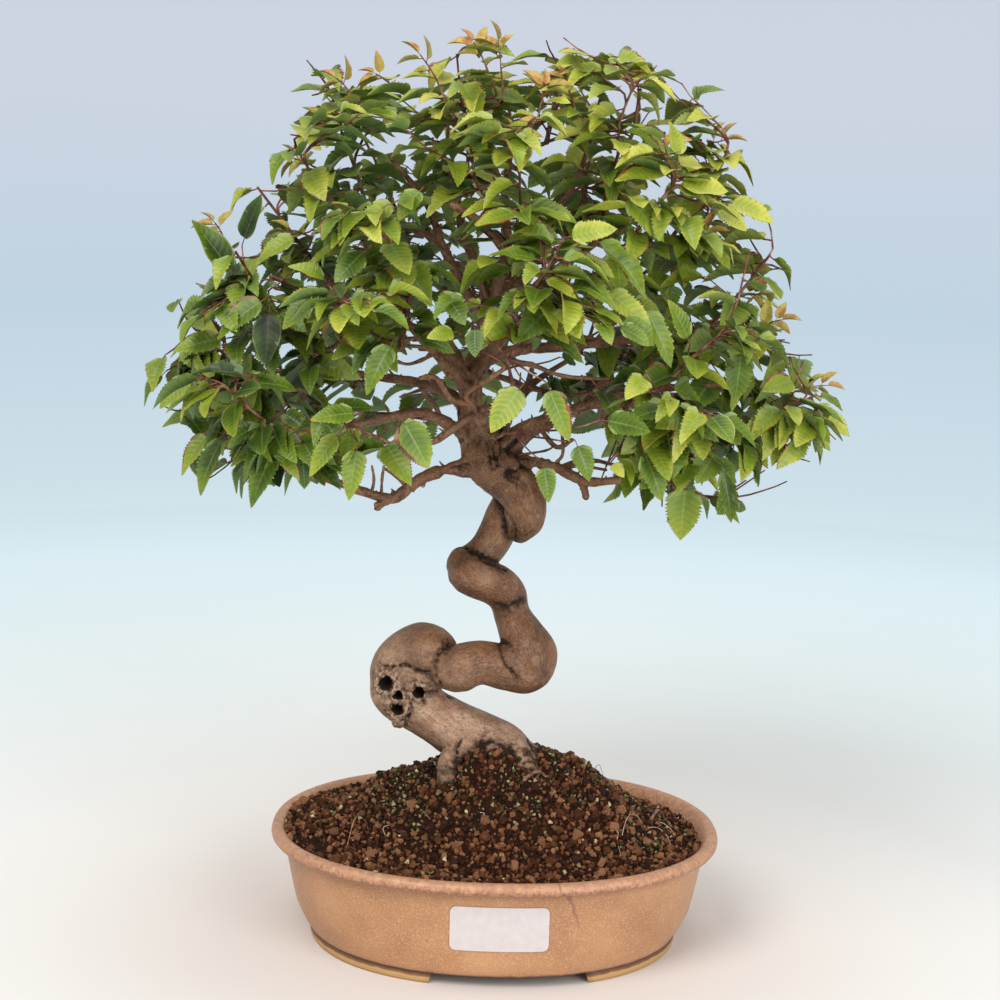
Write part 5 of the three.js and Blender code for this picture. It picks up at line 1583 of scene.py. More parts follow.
def pictured(stalk, end, width, tone, scorch, shape, seed, young=0.0):
    draw = draws(seed)
    y = frontDepth(*stalk)
    point = fromPicture(*stalk, y)
    away = fromPicture(*end, y - 2 - 7 * draw()) - point
    size = float(np.linalg.norm(away))
    facing = np.array([0.35 * (draw() - 0.5), -0.75, 0.62 + 0.3 * draw()])
    tip = unit(away)
    normal = unit(facing - tip * facing.dot(tip))
    tip = unit(tip + normal * 0.2)
    normal = unit(normal - tip * normal.dot(tip))
    leaf = {"point": point, "tip": tip, "normal": normal, "size": size, "width": width, "fold": 0.2}
    return finishedLeaf(leaf, draw, young, tone, scorch, shape)


def leavesAlong(run, draw, count):  # so that no twig on the way to a leaf stays bare
    out = unit(run[-1, :3] - canopyCentre)
    hold = holdAt(run[-1])
    places = range(1, count + 1)
    planned = [leafPlan(draw, run, out, k, 5, shrink=0.72 + 0.3 * draw(), hold=hold) for k in places]
    return [finishedLeaf(leaf, draw) for leaf in planned if keptLeaf(leaf)]


for n, (stalk, end, width, tone, scorch, shape) in enumerate(featureLeaves):
    leaf = pictured(stalk, end, width, tone, scorch, shape, n + 700)
    grown = sprigTo(leaf["point"], n + 9500, 90)
    if grown:
        run, owner = grown
        bare = np.linalg.norm(run[-1, :3] - run[0, :3]) > 24
        shoots[owner]["blades"] += [leaf] + (leavesAlong(run, draws(n + 7100), 3) if bare else [])
        shoots[owner]["twigs"].append(run)

for n, (start, end, count) in enumerate(youngTips):
    draw = draws(n * 91 + 4400)
    y = frontDepth(*start, 0.6)
    base, target = fromPicture(*start, y), fromPicture(*end, y)
    grown = sprigTo(base, n + 9700, 120)
    if not grown:
        continue
    root, owner = grown
    gap = np.linalg.norm(target - base)
    aim = unit(target - base)
    rise = up * gap * 0.06
    stop = target - aim * 9
    leave, arrive = base + aim * gap * 0.3 + rise, stop - aim * gap * 0.25 + rise
    run = bent(base, leave, arrive, stop, 6, (0.62, 0.3), 0.5, n)
    root[:, 3] = np.linspace(0.8, 0.62, len(root))
    shoots[owner]["twigs"] += [root, run]
    blades = leavesAlong(root, draw, 3)
    out = unit(target - canopyCentre)
    for k in range(count - 1):
        leaf = leafPlan(draw, run, out, k, count + 2, shrink=0.56 + 0.26 * draw(), hold=-0.1)
        blades.append(finishedLeaf(leaf, draw, 0.2 * draw(), tone=0.72 + 0.25 * draw(), scorch=0.1, shape=1))
    for share, swing, fresh in ((0.985, 0.0, 0.9), (0.9, 0.8, 0.8), (0.8, -0.85, 0.6), (0.66, 0.9, 0.4)):
        point, heading = runPoint(run, share)
        tip = unit(turned(heading, np.array([0, -1.0, 0]), swing * (0.8 + 0.4 * draw())) - up * 0.12 * draw())
        facing = up * 0.8 + np.array([draw() - 0.5, -0.9 * draw(), 0.3])
        size = (9 if swing == 0 else 11) + 4 * draw()
        normal = unit(facing - tip * facing.dot(tip))
        width = size * (0.42 + 0.1 * draw())
        leaf = {"point": point, "tip": tip, "normal": normal, "size": size, "width": width, "fold": 0.3}
        fresh *= 0.7 + 0.3 * draw()
        blades.append(finishedLeaf(leaf, draw, fresh, tone=0.7 + 0.25 * draw(), scorch=0.05, shape=5))
    shoots[owner]["blades"] += blades


# Where the outline still shows gaps, more side twigs, each at a pixel inside it
fillForm = {"step": 21, "near": 13, "reach": 70, "seed": 5}
middles = np.array([middleOf(leaf) for shoot in shoots for leaf in shoot["blades"]])
leafPixels = list(onPicture(middles))
draw = draws(fillForm["seed"])
filled = 0
for u in range(140, 860, fillForm["step"]):
    for v in range(24, 540, fillForm["step"]):
        spot = np.array([u + 12 * (draw() - 0.5), v + 12 * (draw() - 0.5)])
        depth = 0.15 + 0.75 * draw()
        if not insideOf(*spot, canopyOutline) or any(insideOf(*spot, gap) for gap in seenThrough):
            continue
        if insideOf(*spot, woodInFront) or min(np.hypot(*(spot - p)) for p in leafPixels) < fillForm["near"]:
            continue
        grown = sprigTo(fromPicture(*spot, frontDepth(*spot, depth)), u * 7 + v, fillForm["reach"])
        if not grown:
            continue
        run, owner = grown
        out = unit(run[-1, :3] - canopyCentre)
        hold = holdAt(run[-1])
        kept = [leafPlan(draw, run, out, k, 4, shrink=0.8 + 0.25 * draw(), hold=hold) for k in (1, 2, 3)]
        kept = [finishedLeaf(leaf, draw) for leaf in kept if keptLeaf(leaf)]
        leafPixels += [onPicture(middleOf(leaf)[None])[0] for leaf in kept]
        if kept:
            shoots[owner]["blades"] += kept
            shoots[owner]["twigs"].append(run)
            filled += len(kept)
print("bonsai:", filled, "blades to fill the outline")


# The blade: veins, toothed margin, a thin under side and the stalk, one unit long along +X
bladeWidths = [
    (0, 0.1), (0.03, 0.42), (0.1, 0.74), (0.2, 0.92), (0.35, 1), (0.5, 0.95), (0.65, 0.8), (0.8, 0.54),
    (0.9, 0.3), (1, 0),
]
veinsDrawn = 8.0  # on each side of a blade, by its material


def leafShape(name, fold, wave, curl, twist, veins=8, tooth=0.13, broad=1.0):
    shares, halves = np.array(bladeWidths).T

    def placed(s, out, lift=0.0, phase=0.0):
        half = np.interp(s, shares, halves) * broad
        x = 0.16 + 0.84 * s
        y = out * half * 0.5
        z = abs(out * half) * 0.285 * fold - 0.2 * x * x - curl * max(s - 0.35, 0) ** 2 + lift
        z += wave * abs(out) * math.sin(s * 11 + phase)
        swing = twist * (s - 0.3)
        return (x, y * math.cos(swing) - z * math.sin(swing) * 0.3, z + y * math.sin(swing))

    points, places, faces, sides = [], [], [], []

    def add(s, out, vein, lift=0.0):
        points.append(placed(s, out, lift, 0.0 if out > 0 else 2.1))
        places.append((out, vein / veinsDrawn))
        return len(points) - 1

    roots = [0.93 * i / veins for i in range(veins)] + [1.0]
    ends = [s + (0.12 + 0.5 * s * (1 - s)) * (1 - s) ** 0.35 for s in roots]
    ribTop = [add(s, 0, i) for i, s in enumerate(roots)]
    ribUnder = ribTop[:1] + [add(roots[i], 0, i, -0.022) for i in range(1, veins)] + ribTop[-1:]
    for way in (1, -1):
        middle, edge = [ribTop[0]], [ribTop[0]]
        for i in range(1, veins):
            middle.append(add(0.55 * roots[i] + 0.45 * ends[i], way * 0.52, i, 0.006))
            edge.append(add(ends[i], way, i))
        middle.append(ribTop[-1])
        edge.append(ribTop[-1])
        notch = [[add(0.035, way, 0.1), add(0.12, way * 0.97, 0.4), add(0.2, way, 0.7)]]
        for i in range(1, veins):
            step = ends[i + 1] - ends[i]
            teeth = ((0.14, 1.0), (0.52, 0.2), (0.64, 1.1))
            notch.append([add(ends[i] + t * step, way * (1 - cut * tooth), i + t) for t, cut in teeth])

        def face(corners, side):
            faces.append(tuple(corners if way > 0 else reversed(corners)))
            sides.append(side)

        for i in range(veins):
            inner = [ribTop[i], middle[i], middle[i + 1], ribTop[i + 1]]
            face([c for k, c in enumerate(inner) if c not in inner[:k]][::-1], 1)
            outer = [edge[i], *notch[i], edge[i + 1]]
            outer += [middle[i + 1]] if middle[i + 1] != edge[i + 1] else []
            outer += [middle[i]] if middle[i] != edge[i] else []
            face(outer[::-1], 1)
        third = veins // 3
        for low, high in ((0, third), (third, 2 * third), (2 * third, veins)):
            loop = [edge[low]]
            for i in range(low, high):
                loop += [*notch[i], edge[i + 1]]
            loop += ribUnder[low : high + 1][::-1]
            face([c for i, c in enumerate(loop) if c != loop[i - 1]], -1)
    first, stalkSides = len(points), 4
    for x, z in ((0.0, 0.0), (0.1, -0.002), (0.19, -0.008)):
        for k in range(stalkSides):
            angle = 2 * math.pi * k / stalkSides
            points.append((x, 0.018 * math.cos(angle), z + 0.018 * math.sin(angle)))
            places.append((0, 0))
    for low in (first, first + stalkSides):
        for k in range(stalkSides):
            n = (k + 1) % stalkSides
            faces.append((low + n, low + stalkSides + n, low + stalkSides + k, low + k))
    faces.append(tuple(range(first + 2 * stalkSides, first + 3 * stalkSides)))
    faces.append(tuple(range(first, first + stalkSides))[::-1])
    sides += [0] * (2 * stalkSides + 2)
    mesh = bpy.data.meshes.new(name)
    mesh.from_pydata(points, [], faces)
    mesh.shade_smooth()
    layer = mesh.attributes.new("leafPlace", "FLOAT_VECTOR", "CORNER")
    values = [(*places[corner], side) for polygon, side in zip(faces, sides) for corner in polygon]
    layer.data.foreach_set("vector", np.array(values, float).ravel())
    # the margin stays crisp
    sideOf = {}
    for polygon, side in zip(faces, sides):
        for a, b in zip(polygon, polygon[1:] + polygon[:1]):
            sideOf.setdefault((min(a, b), max(a, b)), set()).add(side)
    for line in mesh.edges:
        line.use_edge_sharp = len(sideOf[tuple(sorted(line.vertices))]) > 1
    return bpy.data.objects.new(name, mesh)


leafShapes = bpy.data.collections.new("leafShapes")
for leafSettings in (
    ("leaf0", 0.14, 0.014, 0.0, 0.05, 8, 0.17),
    ("leaf1", 0.24, 0.022, 0.12, 0.18, 8, 0.19),
    ("leaf2", 0.36, 0.018, 0.24, -0.25, 8, 0.17, 0.94),
    ("leaf3", 0.5, 0.034, 0.42, 0.55, 8, 0.2, 0.92),
    ("leaf4", 0.42, 0.038, 0.6, -0.6, 8, 0.2),
    ("leaf5", 0.6, 0.01, 0.2, 0.25, 7, 0.16),
    ("leaf6", 0.25, 0.02, -0.1, 0.1, 8, 0.03),
):
    leafShapes.objects.link(leafShape(*leafSettings))


def leafMaterial():
    # hornbeam blade: satin upper side with pale pleated veins, light shining through, paler under side,
    # yellow-green when new, brown and dry along some margins
    leaf, add, shader, output = newMaterial("hornbeamLeaf", {"Specular IOR Level": 0.55})
    place = add("ShaderNodeAttribute", attribute_name="leafPlace").outputs["Vector"]
    look = add("ShaderNodeAttribute", attribute_name="look").outputs["Vector"]
    across, along, side = add("ShaderNodeSeparateXYZ", {"Vector": place}).outputs
    tone, young, scorch = add("ShaderNodeSeparateXYZ", {"Vector": look}).outputs
    out = add("ShaderNodeMath", {0: across}, operation="ABSOLUTE")
    where = add("ShaderNodeTexCoord").outputs["Object"]
    mottle = add("ShaderNodeTexNoise", {"Vector": where, "Scale": 260.0, "Detail": 3.0, "Roughness": 0.6})
    clouds = add("ShaderNodeTexNoise", {"Vector": where, "Scale": 90.0, "Detail": 1.0})
    phase = add("ShaderNodeMath", {0: along, 1: veinsDrawn}, operation="MULTIPLY")
    stripe = add("ShaderNodeMath", {0: phase, 1: 0.5}, operation="PINGPONG")  # 0 on a vein
    # deep green by the rib, painted shade in the grooves of the veins, lighter and yellower toward the margin
    # and the tip
    grooveShade = add("ShaderNodeMapRange", {0: stripe, 2: 0.2, 3: -0.09, 4: 0.0})
    edged = add("ShaderNodeMapRange", {0: out, 1: 0.3, 3: -0.09, 4: 0.1})
    tipped = add("ShaderNodeMapRange", {0: along, 1: 0.35, 3: -0.04, 4: 0.12})
    toned = add("ShaderNodeMath", {0: mottle, 1: 0.22, 2: tone}, operation="MULTIPLY_ADD")
    green = add("ShaderNodeMath", {0: clouds, 1: 0.4, 2: toned}, operation="MULTIPLY_ADD")
    for part in (edged, tipped, grooveShade, -0.17):
        green = add("ShaderNodeMath", {0: green, 1: part})
    greens = [(0.0, "#18240a"), (0.26, "#3f5814"), (0.50, "#6b841e"), (0.75, "#95a32a"), (1.0, "#cac74e")]
    colour = add("ShaderNodeValToRGB", {0: green}, greens)
    # pale ribs, and a pale line at the margin
    ribStrength = add("ShaderNodeMapRange", {0: tone, 2: 0.35, 3: 0.15})
    ribReach = add("ShaderNodeMapRange", {0: out, 1: 0.03, 2: 0.07, 3: 0.45, 4: 0.0})
    ribShare = add("ShaderNodeMath", {0: ribReach, 1: ribStrength}, operation="MULTIPLY")
    rimReach = add("ShaderNodeMapRange", {0: out, 1: 0.86, 2: 0.93, 4: 0.6})
    rimShare = add("ShaderNodeMath", {0: rimReach, 1: ribStrength}, operation="MULTIPLY")
    fresh = add("ShaderNodeValToRGB", {0: mottle}, [(0.35, "#b9553f"), (0.5, "#cc8a4e"), (0.65, "#cfb25a")])
    # one margin brown and dry in blotches, with a little yellow where the brown begins
    ragged = add("ShaderNodeMath", {0: mottle, 1: 0.9, 2: out}, operation="MULTIPLY_ADD")
    oneSide = add("ShaderNodeMath", {0: scorch, 1: across}, operation="MULTIPLY")
    brownAt = add("ShaderNodeMath", {0: oneSide, 1: 0.62, 2: ragged}, operation="MULTIPLY_ADD")
    yellowShare = add("ShaderNodeMapRange", {0: brownAt, 1: 1.40, 2: 1.54, 4: 0.5})
    brownShare = add("ShaderNodeMapRange", {0: brownAt, 1: 1.53, 2: 1.58})
    dry = add("ShaderNodeValToRGB", {0: clouds}, [(0.35, "#4a2414"), (0.5, "#7a3c20"), (0.65, "#a8623a")])
    underShare = add("ShaderNodeMapRange", {0: side, 1: -0.5, 2: -0.6, 4: 0.45})
    stalkShare = add("ShaderNodeMath", {0: side, 1: 0.0, 2: 0.3}, operation="COMPARE")
    layers = [
        (ribShare, "#9cb45e"), (young, fresh), (rimShare, "#c4c27c"), (yellowShare, "#a8953a"),
        (brownShare, dry), (underShare, "#8ca873"), (stalkShare, "#8a5038"),
    ]
    for share, tint in layers:
        colour = add("ShaderNodeMix", {0: share, 1: colour, 2: tint}, data_type="RGBA")
    joinSocket(colour, shader, "Base Color")
    joinSocket(add("ShaderNodeMapRange", {0: side, 1: -0.5, 2: 0.9, 3: 0.65, 4: 0.42}), shader, "Roughness")
    relief = add("ShaderNodeMath", {0: stripe, 1: 2.0, 2: mottle}, operation="MULTIPLY_ADD")
    pleats = add("ShaderNodeMath", {0: ribStrength, 1: 0.38}, operation="MULTIPLY")
    bump = add("ShaderNodeBump", {"Height": relief, "Strength": pleats, "Distance": 0.00035})
    joinSocket(bump, shader, "Normal")
    glow = add("ShaderNodeBsdfTranslucent", {"Color": colour, "Normal": bump})
    joinSocket(add("ShaderNodeMixShader", {0: 0.26, 1: shader, 2: glow}), output, "Surface")
    return leaf


def twigMaterial():
    # new hornbeam twigs: reddish brown, dull, greyer in patches
    twig, add, shader, _ = newMaterial("twigBark", {"Roughness": 0.6, "Specular IOR Level": 0.35})
    where = add("ShaderNodeTexCoord").outputs["Object"]
    patches = add("ShaderNodeTexNoise", {"Vector": where, "Scale": 140.0, "Detail": 3.0})
    browns = [(0.34, "#3d2118"), (0.46, "#653629"), (0.56, "#7e523e"), (0.68, "#a07c63")]
    joinSocket(add("ShaderNodeValToRGB", {0: patches}, browns), shader, "Base Color")
    return twig


foliageValues = {
    "isLeaf": "BOOLEAN", "girth": "FLOAT", "shape": "INT", "turn": "FLOAT_VECTOR", "span": "FLOAT_VECTOR"
}


def foliageTree(leafSurface, twigSurface):
    tree, add, sockets = newTree("growFoliage", {"Leaves": "NodeSocketCollection"})
    source = add("NodeGroupInput").outputs
    isLeaf, girth, shape, turn, span = (
        add("GeometryNodeInputNamedAttribute", {"Name": name}, data_type=kind)
        for name, kind in foliageValues.items()
    )
    parts = add("GeometryNodeSeparateGeometry", {0: source[0], "Selection": isLeaf}).outputs
    lines = add("GeometryNodeMeshToCurve", {0: parts["Inverted"]})
    thick = add("GeometryNodeSetCurveRadius", {0: lines, "Radius": girth})
    section = add("GeometryNodeCurvePrimitiveCircle", {"Resolution": foliageForm["twigFaces"]})
    twigs = add("GeometryNodeCurveToMesh", {0: thick, 1: section, "Fill Caps": True, "Scale": girth})
    woody = add("GeometryNodeSetMaterial", {0: twigs, "Material": twigSurface})
    shapes = add("GeometryNodeCollectionInfo", {0: source[1], "Separate Children": True})
    rotation = add("FunctionNodeEulerToRotation", {0: turn})
    choice = {"Instance": shapes, "Pick Instance": True, "Instance Index": shape}
    ways = {**choice, "Rotation": rotation, "Scale": span}
    placed = add("GeometryNodeInstanceOnPoints", {0: parts["Selection"], **ways})
    real = add("GeometryNodeRealizeInstances", {0: placed})
    leafy = add("GeometryNodeSetMaterial", {0: real, "Material": leafSurface})
    joined = add("GeometryNodeJoinGeometry", {0: woody})
    joinSocket(leafy, joined, 0)
    add("NodeGroupOutput", {0: joined})
    return tree, sockets


def growFoliage(name, members, tree, sockets, surfaces):
    points, edges, rows = [], [], []
    none = (0, 0, 0)
    for shoot in members:
        for run in shoot["twigs"]:
            first = len(points)
            fine = smoothRun(run, 2) if len(run) < 6 else run
            points += [row[:3] for row in fine]
            edges += [(first + i, first + i + 1) for i in range(len(fine) - 1)]
            rows += [(False, row[3] * millimetre, 0, none, none, none) for row in fine]
        for leaf in shoot["blades"]:
            tip, normal = leaf["tip"], leaf["normal"]
            basis = Matrix([tip, np.cross(normal, tip), normal]).transposed()
            span = tuple(leaf[way] * millimetre for way in ("size", "width", "size"))
            look = (min(max(leaf["tone"], 0), 1), leaf["young"], leaf["scorch"])
            points.append(leaf["point"])
            rows.append((True, 0.0, leaf["shape"], tuple(basis.to_euler()), span, look))
    mesh = bpy.data.meshes.new(name)
    mesh.from_pydata(toMetres(points).tolist(), edges, [])
    layers = {**foliageValues, "look": "FLOAT_VECTOR"}
    for (layer, kind), values in zip(layers.items(), zip(*rows)):
        storeValues(mesh, layer, kind, values)
    for surface in surfaces:
        mesh.materials.append(surface)
    piece = bpy.data.objects.new(name, mesh)
    sceneCollection.objects.link(piece)
    growWith(piece, tree, sockets, {"Leaves": leafShapes})
    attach(piece, "root")
    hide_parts(*[f"shoot_{shoot['index'] + 1:02d}" for shoot in members])
    return len(piece.data.polygons)


leafSurface, twigSurface = leafMaterial(), twigMaterial()
leafTree, leafSockets = foliageTree(leafSurface, twigSurface)
faces = 0
for limb, owners in sorted(limbOwners.items()):
    members = [shoots[number] for number in owners]
    faces += growFoliage(
        f"foliage_{limb + 1:02d}", members, leafTree, leafSockets, (leafSurface, twigSurface)
    )
print("bonsai: foliage on", len(limbOwners), "limbs,", faces, "faces")


# Thin limbs and the branchlets out to the leafy twigs, with knobs, spurs, bare twiglets and sawn stubs
limbForm = {
    "spurGap": 8.0,
    "bareTwigs": 40,
    "stubs": 12,
    # least length and what chance adds
    "spur": (1.2, 2.6),
    "bareTwig": (8, 12),
    "stub": (9, 9),
    "stubGirth": (1.3, 0.9),
}
# Bare limbs and twigs seen in the photograph, each from the wood that it grows from: pixels, radius, sawn end
seenTwigs = [
    ([(530, 250), (512, 242), (495, 232)], 1.4, True), ([(530, 252), (528, 236), (525, 220)], 1.2, True),
    ([(532, 246), (532, 228), (544, 197)], 1.0, True),
    ([(536, 226), (548, 217), (560, 202), (583, 185)], 1.1, False),
    ([(600, 208), (608, 199), (626, 186)], 0.8, False),
    ([(512, 268), (506, 250), (474, 218), (452, 205)], 2.4, False),
    ([(506, 273), (468, 266), (445, 263), (424, 268)], 1.5, False),
    ([(497, 314), (485, 295), (479, 279)], 2.0, False),
    ([(505, 352), (532, 340), (548, 333), (580, 336), (611, 344), (643, 348)], 1.6, False),
    ([(515, 356), (532, 365), (563, 376), (608, 379)], 1.2, False),
    ([(575, 414), (587, 400), (603, 384), (627, 379)], 1.5, False),
    ([(580, 406), (627, 405), (669, 403)], 1.3, False), ([(627, 379), (640, 392), (650, 407)], 0.7, False),
    ([(462, 408), (452, 400), (436, 378), (420, 378)], 1.5, False),
    ([(466, 436), (452, 425), (434, 416)], 2.2, True), ([(463, 368), (444, 351), (420, 349)], 1.3, False),
    ([(430, 340), (403, 338), (385, 330)], 1.0, False), ([(429, 349), (403, 346), (388, 352)], 0.8, False),
    ([(430, 363), (410, 364), (394, 360)], 0.9, False), ([(430, 384), (414, 392), (400, 397)], 0.8, False),
    ([(399, 484), (386, 502), (377, 508)], 1.7, True), ([(386, 500), (370, 496), (353, 491)], 1.3, False),
    ([(374, 494), (374, 480), (372, 466)], 0.7, False), ([(383, 497), (382, 480), (384, 466)], 0.7, False),
    ([(402, 481), (393, 474), (385, 469)], 0.8, False), ([(424, 475), (424, 481), (423, 486)], 1.0, True),
    ([(414, 478), (414, 484)], 0.9, True), ([(578, 480), (584, 488), (586, 497)], 1.8, True),
    ([(508, 462), (516, 456), (544, 451), (553, 447)], 0.7, False),
    ([(540, 440), (556, 447), (572, 440)], 1.2, False), ([(566, 436), (563, 452), (556, 462)], 0.8, False),
    ([(560, 462), (580, 466), (606, 470)], 0.9, False), ([(552, 120), (556, 94), (557, 70)], 1.0, True),
    ([(598, 130), (601, 98), (607, 62)], 1.0, True), ([(628, 168), (632, 135), (640, 90)], 0.9, True),
    ([(452, 150), (448, 128), (440, 108)], 0.9, False), ([(520, 160), (512, 130), (507, 100)], 0.9, False),
    ([(352, 230), (372, 252), (400, 262)], 1.0, False),
]


def makeLimbs(bark):
    points, faces, grains, looks = [], [], [], []

    def sweep(run, sides, sawn=False):
        made, joined = tubeMesh(run, sides, firstPoint=len(points))
        points.extend(made)
        faces.extend(joined)
        reach = np.cumsum([0, *np.linalg.norm(np.diff(run[:, :3], axis=0), axis=1)])
        angle = np.arange(sides) / sides * 2 * math.pi
        for i in [0, *range(len(run)), len(run) - 1]:
            across, along = run[i, 3] * np.cos(angle), run[i, 3] * np.sin(angle)
            grains.extend(np.column_stack([across, along, np.full(sides, reach[i])]))
        grains.extend([[0, 0, 0], [0, 0, reach[-1]]])
        ends = [(0.0, 0.0, float(sawn))]  # the sawn face shows bare wood
        looks.extend([(0.0, 0.0, 0.0)] * (len(run) + 1) * sides + ends * sides + [(0.0, 0.0, 0.0)] + ends)

    def knobbly(run, amount, seed):
        bumps = draws(seed)
        swell = [1 + amount * (bumps() - 0.3) + (0.35 * amount if bumps() < 0.25 else 0) for _ in run]
        return np.column_stack([run[:, :3], run[:, 3] * swell])

    def sized(part, draw):
        least, more = limbForm[part]
        return least + more * draw()

    def stray(draw, least=-0.5):  # a small random way
        return np.array([draw() - 0.5, draw() - 0.5, draw() + least])

    woody = []
    for n, run in enumerate(fineLimbs):
        thin = run[run[:, 3] <= barkForm["thickLimb"] + 0.5]
        sweep(knobbly(thin, 0.3, n + 60), 8)
        woody.append(run[len(run) // 5 :])
    for shoot in shoots:
        sweep(knobbly(shoot["branchlet"], 0.35, shoot["index"] + 160), 6)
        woody.append(shoot["branchlet"])
    for n, run in enumerate(woody):
        draw = draws(n * 37 + 2200)
        length = float(np.linalg.norm(np.diff(run[:, :3], axis=0), axis=1).sum())
        for k in range(int(length / limbForm["spurGap"])):
            t = (k + draw()) * limbForm["spurGap"] / length
            point, heading = runPoint(run, t)
            girth = np.interp(t, np.linspace(0, 1, len(run)), run[:, 3])
            way = unit(stray(draw, -0.35) + heading * 0.3)
            way = unit(way - heading * way.dot(heading) * 0.7)
            size = sized("spur", draw)
            start, tip, bend = point + way * girth * 0.5, point + way * (girth + size), heading * size * 0.2
            sweep(np.array([[*start, 0.9], [*((start + tip) / 2 + bend), 0.62], [*(tip + bend), 0.34]]), 5)
    for n in range(limbForm["bareTwigs"]):
        draw = draws(n * 53 + 8100)
        point, heading = runPoint(woody[(n * 7) % len(woody)], 0.25 + 0.7 * draw())
        way = unit(unit(point - canopyCentre + up * 30) + heading * 0.6 + stray(draw, -0.4) * 1.3)
        size = sized("bareTwig", draw)
        middle = point + way * size * 0.5 + up * (draw() - 0.5) * 3
        end = middle + unit(way + stray(draw)) * size * 0.5
        sweep(smoothRun([[*point, 0.75], [*middle, 0.6], [*end, 0.4]], 3), 5)
    for n in range(limbForm["stubs"]):
        draw = draws(n * 71 + 8900)
        point, heading = runPoint(fineLimbs[(n * 5) % len(fineLimbs)], 0.3 + 0.45 * draw())
        girth = sized("stubGirth", draw)
        out = unit(point - canopyCentre + up * 60 - np.array([0, 30, 0]))
        way = unit(heading * 0.5 + out + stray(draw))
        end = point + way * sized("stub", draw)
        sweep(np.array([[*point, girth * 1.2], [*((point + end) / 2), girth], [*end, girth]]), 7, sawn=True)
    wood = np.concatenate(fineLimbs + [shoot["branchlet"] for shoot in shoots])
    woodPixels = onPicture(wood)
    for pixels, girth, sawn in seenTwigs:
        away = np.hypot(*(woodPixels - pixels[0]).T) + 0.08 * (wood[:, 1] + 60)
        foot = wood[away.argmin(), :3]
        line = [[*foot, girth * 1.15]]
        for i, (u, v) in enumerate(pixels[1:]):
            line.append(
                [*fromPicture(u, v, foot[1] - 1.5 * (i + 1)), girth * (1.0 if sawn else 1 - 0.16 * i)]
            )
        sweep(knobbly(smoothRun(line, 5), 0.35, len(points)), 7, sawn)
    piece = makePiece("limbs_bark", points, faces, [bark])
    mesh = piece.data
    storeValues(mesh, "grain", "FLOAT_VECTOR", grains)
    look = np.array(looks)
    dirty = np.clip(0.25 + 0.6 * grit(fromMetres(pointsOf(mesh)), 6, 33), 0, 0.8)
    look[:, 0] = dirty * (look[:, 2] < 0.5)
    storeValues(mesh, "barkLook", "FLOAT_VECTOR", look)
    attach(piece, "root")
    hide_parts("trunk")
    print("bonsai: limbs", len(mesh.polygons), "faces")


makeLimbs(bark)


# Moss, lichen-grey crumbs and roots on the soil, placed by the pixels where the photograph shows them
groundForm = {
    # least gap, least width and most width
    "crumb": (1.35, 1.2, 3.2),
    "tuft": (1.9, 1.6, 3.2),
    "seed": 70,
    "mossy": soilForm["mossy"],
    "cushions": [(541, 757, 8), (532, 764, 6), (513, 806, 6), (668, 845, 8), (455, 792, 5), (646, 838, 5)],
}
whiteRoots = [
    [(622, 836), (626, 824), (632, 819), (640, 824), (643, 835)],
    [(616, 830), (618, 838), (617, 846), (621, 856)],
    [(648, 828), (658, 832), (668, 842), (672, 852)],
    [(655, 822), (664, 828), (676, 834)],
    [(480, 815), (484, 820), (481, 828)],
    [(390, 826), (383, 832), (386, 838)],
]
brownRoots = [
    ([(524, 783), (533, 777), (541, 777), (550, 783)], 1.1, 0.2),
    ([(650, 822), (658, 821), (665, 822)], 0.9, 4.5),
    ([(421, 811), (425, 817), (430, 822)], 0.45, 0.3),
    ([(512, 808), (505, 817), (499, 824)], 0.25, 0.8),
    ([(593, 771), (599, 779), (605, 784)], 0.18, 6.5),
]
sprouts = [(332, 815), (626, 799), (621, 851), (430, 876)]
needle = [(357, 817), (353, 828), (346, 851)]


def laidOnSoil(pixels, radius, lift):
    last = len(pixels) - 1
    run = []
    for i, (u, v) in enumerate(pixels):
        point = onSoil(u, v)
        rise = radius + lift * math.sin(math.pi * i / last) - (1.2 if i in (0, last) else 0)
        run.append([point[0], point[1], point[2] + rise + 0.8, radius * (1 - 0.35 * i / last)])
    return smoothRun(run, 5)


def makeThreads(name, runs, sides, finish):
    points, faces = [], []
    for run in runs:
        made, joined = tubeMesh(run, sides, firstPoint=len(points))
        points.extend(made)
        faces.extend(joined)
    piece = makePiece(name, points, faces, [finish])
    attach(piece, "root")


def plainFinish(name, low, high, roughness):
    # plant fibre: dull, mottled between two shades every 2 or 3 mm, faintly wrinkled
    finish, add, shader, _ = newMaterial(name, {"Roughness": roughness, "Specular IOR Level": 0.35})
    place = add("ShaderNodeTexCoord").outputs["Object"]
    noise = add("ShaderNodeTexNoise", {"Vector": place, "Scale": 400.0, "Detail": 3.0})
    mottled = add("ShaderNodeValToRGB", {0: noise}, [(0.35, low), (0.65, high)])
    joinSocket(mottled, shader, "Base Color")
    bump = add("ShaderNodeBump", {"Height": noise, "Strength": 0.4, "Distance": 0.0005})
    joinSocket(bump, shader, "Normal")
    return finish


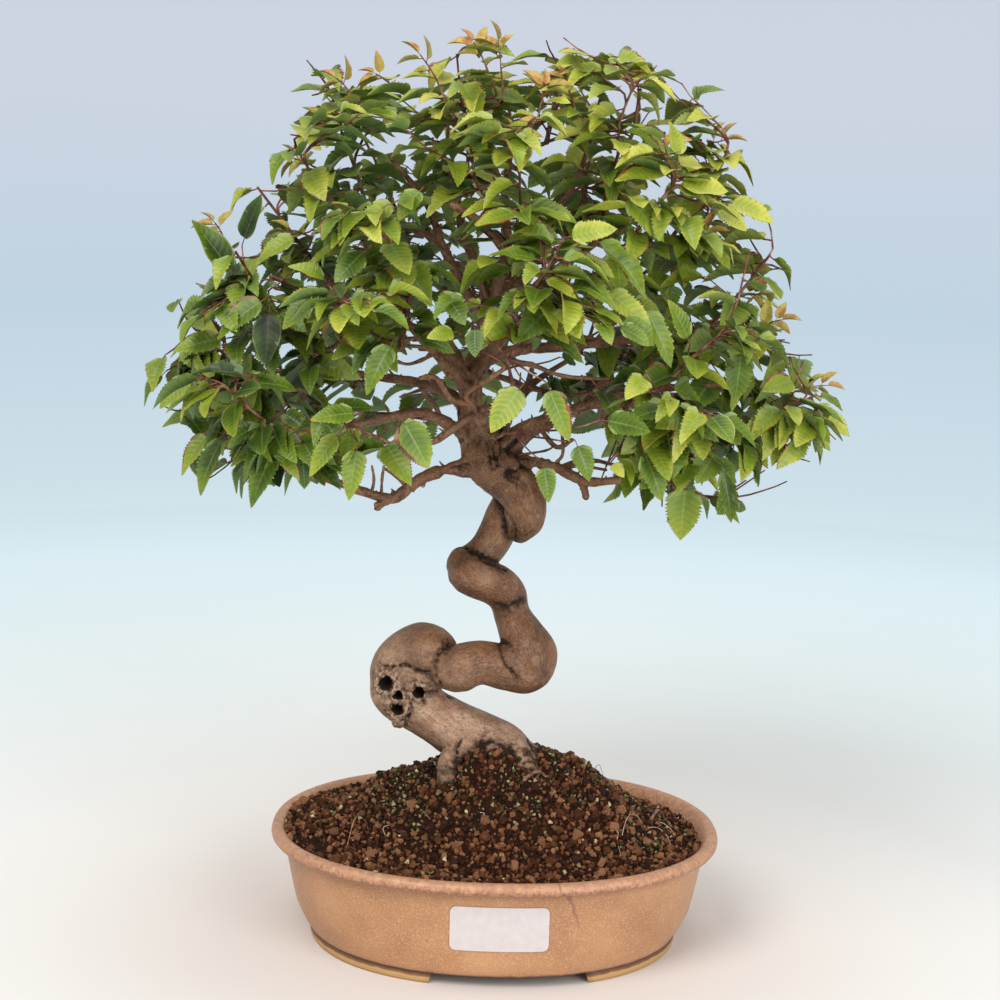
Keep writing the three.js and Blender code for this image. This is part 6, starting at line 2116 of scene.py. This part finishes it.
# Tufts: a few leaning pointed blades from one foot
def tuftShapes(count):
    group = bpy.data.collections.new("mossTuft")
    for i in range(count):
        rng = np.random.default_rng(90 + i)
        points, faces = [], []
        for k in range(7):
            angle = 2 * math.pi * (k + rng.uniform(-0.3, 0.3)) / 7
            lean = rng.uniform(0.2, 0.55)
            way = np.array([math.cos(angle), math.sin(angle), 0])
            side = np.array([-way[1], way[0], 0]) * 0.09
            foot = way * 0.05
            first = len(points)
            points += [foot + side, foot - side, foot + way * 0.12, way * lean + up * rng.uniform(0.45, 0.8)]
            blade = ((0, 2, 3), (2, 1, 3), (1, 0, 3), (0, 1, 2))
            faces += [tuple(first + corner for corner in face) for face in blade]
        mesh = bpy.data.meshes.new(f"mossTuft{i}")
        mesh.from_pydata([tuple(p) for p in points], [], faces)
        group.objects.link(bpy.data.objects.new(f"mossTuft{i}", mesh))
    return group


# Seedlings: three folded blades from one point just above the soil
def makeSprouts(finish):
    points, faces = [], []
    rng = np.random.default_rng(7)
    for u, v in sprouts:
        foot = onSoil(u, v) + up * 1.2
        for k in range(3):
            angle = 2 * math.pi * k / 3 + rng.uniform(-0.5, 0.5)
            way = unit(np.array([math.cos(angle), math.sin(angle), rng.uniform(0.2, 0.7)]))
            side = np.cross(way, up) * 0.36
            size = rng.uniform(1.8, 2.8)
            first = len(points)
            middle = foot + way * size * 0.55
            points += [foot, middle + side * size, foot + way * size, middle - side * size, middle - up * 0.3]
            blade = ((0, 4, 1), (4, 2, 1), (0, 3, 4), (4, 3, 2))
            faces += [tuple(first + corner for corner in face) for face in blade]
    piece = makePiece("soil_seedlings", points, faces, [finish])
    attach(piece, "root")


def makeGround(chips, scatter):
    where, cushions = (mossAt(scatter[2], groundForm[spots]) for spots in ("mossy", "cushions"))
    lichen = soilMaterial("lichenCrumbs", "#1b180c", "#4f4a2f", "#9c9268", 0.7)
    moss = plainFinish("greenMoss", "#20260f", "#4a5228", 0.9)
    plans = {
        "soil_lichen_crumbs": (chips, lichen, groundForm["crumb"], where, 0.35),
        "soil_moss_tufts": (tuftShapes(4), moss, groundForm["tuft"], 0.25 * where + 0.9 * cushions, 0.3),
    }
    strew(plans, groundForm["seed"], *scatter)
    whiteRoot = plainFinish("freshRootFibre", "#a3957c", "#dccfb9", 0.5)
    oldRoot = plainFinish("oldRootBark", "#4f3023", "#8f6654", 0.55)
    dryNeedle = plainFinish("dryNeedleStraw", "#8f5238", "#c48e68", 0.5)
    makeThreads("white_rootlets", [laidOnSoil(pixels, 0.2, 1.3) for pixels in whiteRoots], 5, whiteRoot)
    makeThreads("surface_roots", [laidOnSoil(p, radius, lift) for p, radius, lift in brownRoots], 8, oldRoot)
    makeThreads("dry_needle", [laidOnSoil(needle, 0.38, 1.5)], 6, dryNeedle)
    makeSprouts(plainFinish("freshSproutLeaf", "#3a6326", "#76a04c", 0.45))


makeGround(chips, scatter)
print("bonsai: moss and roots")
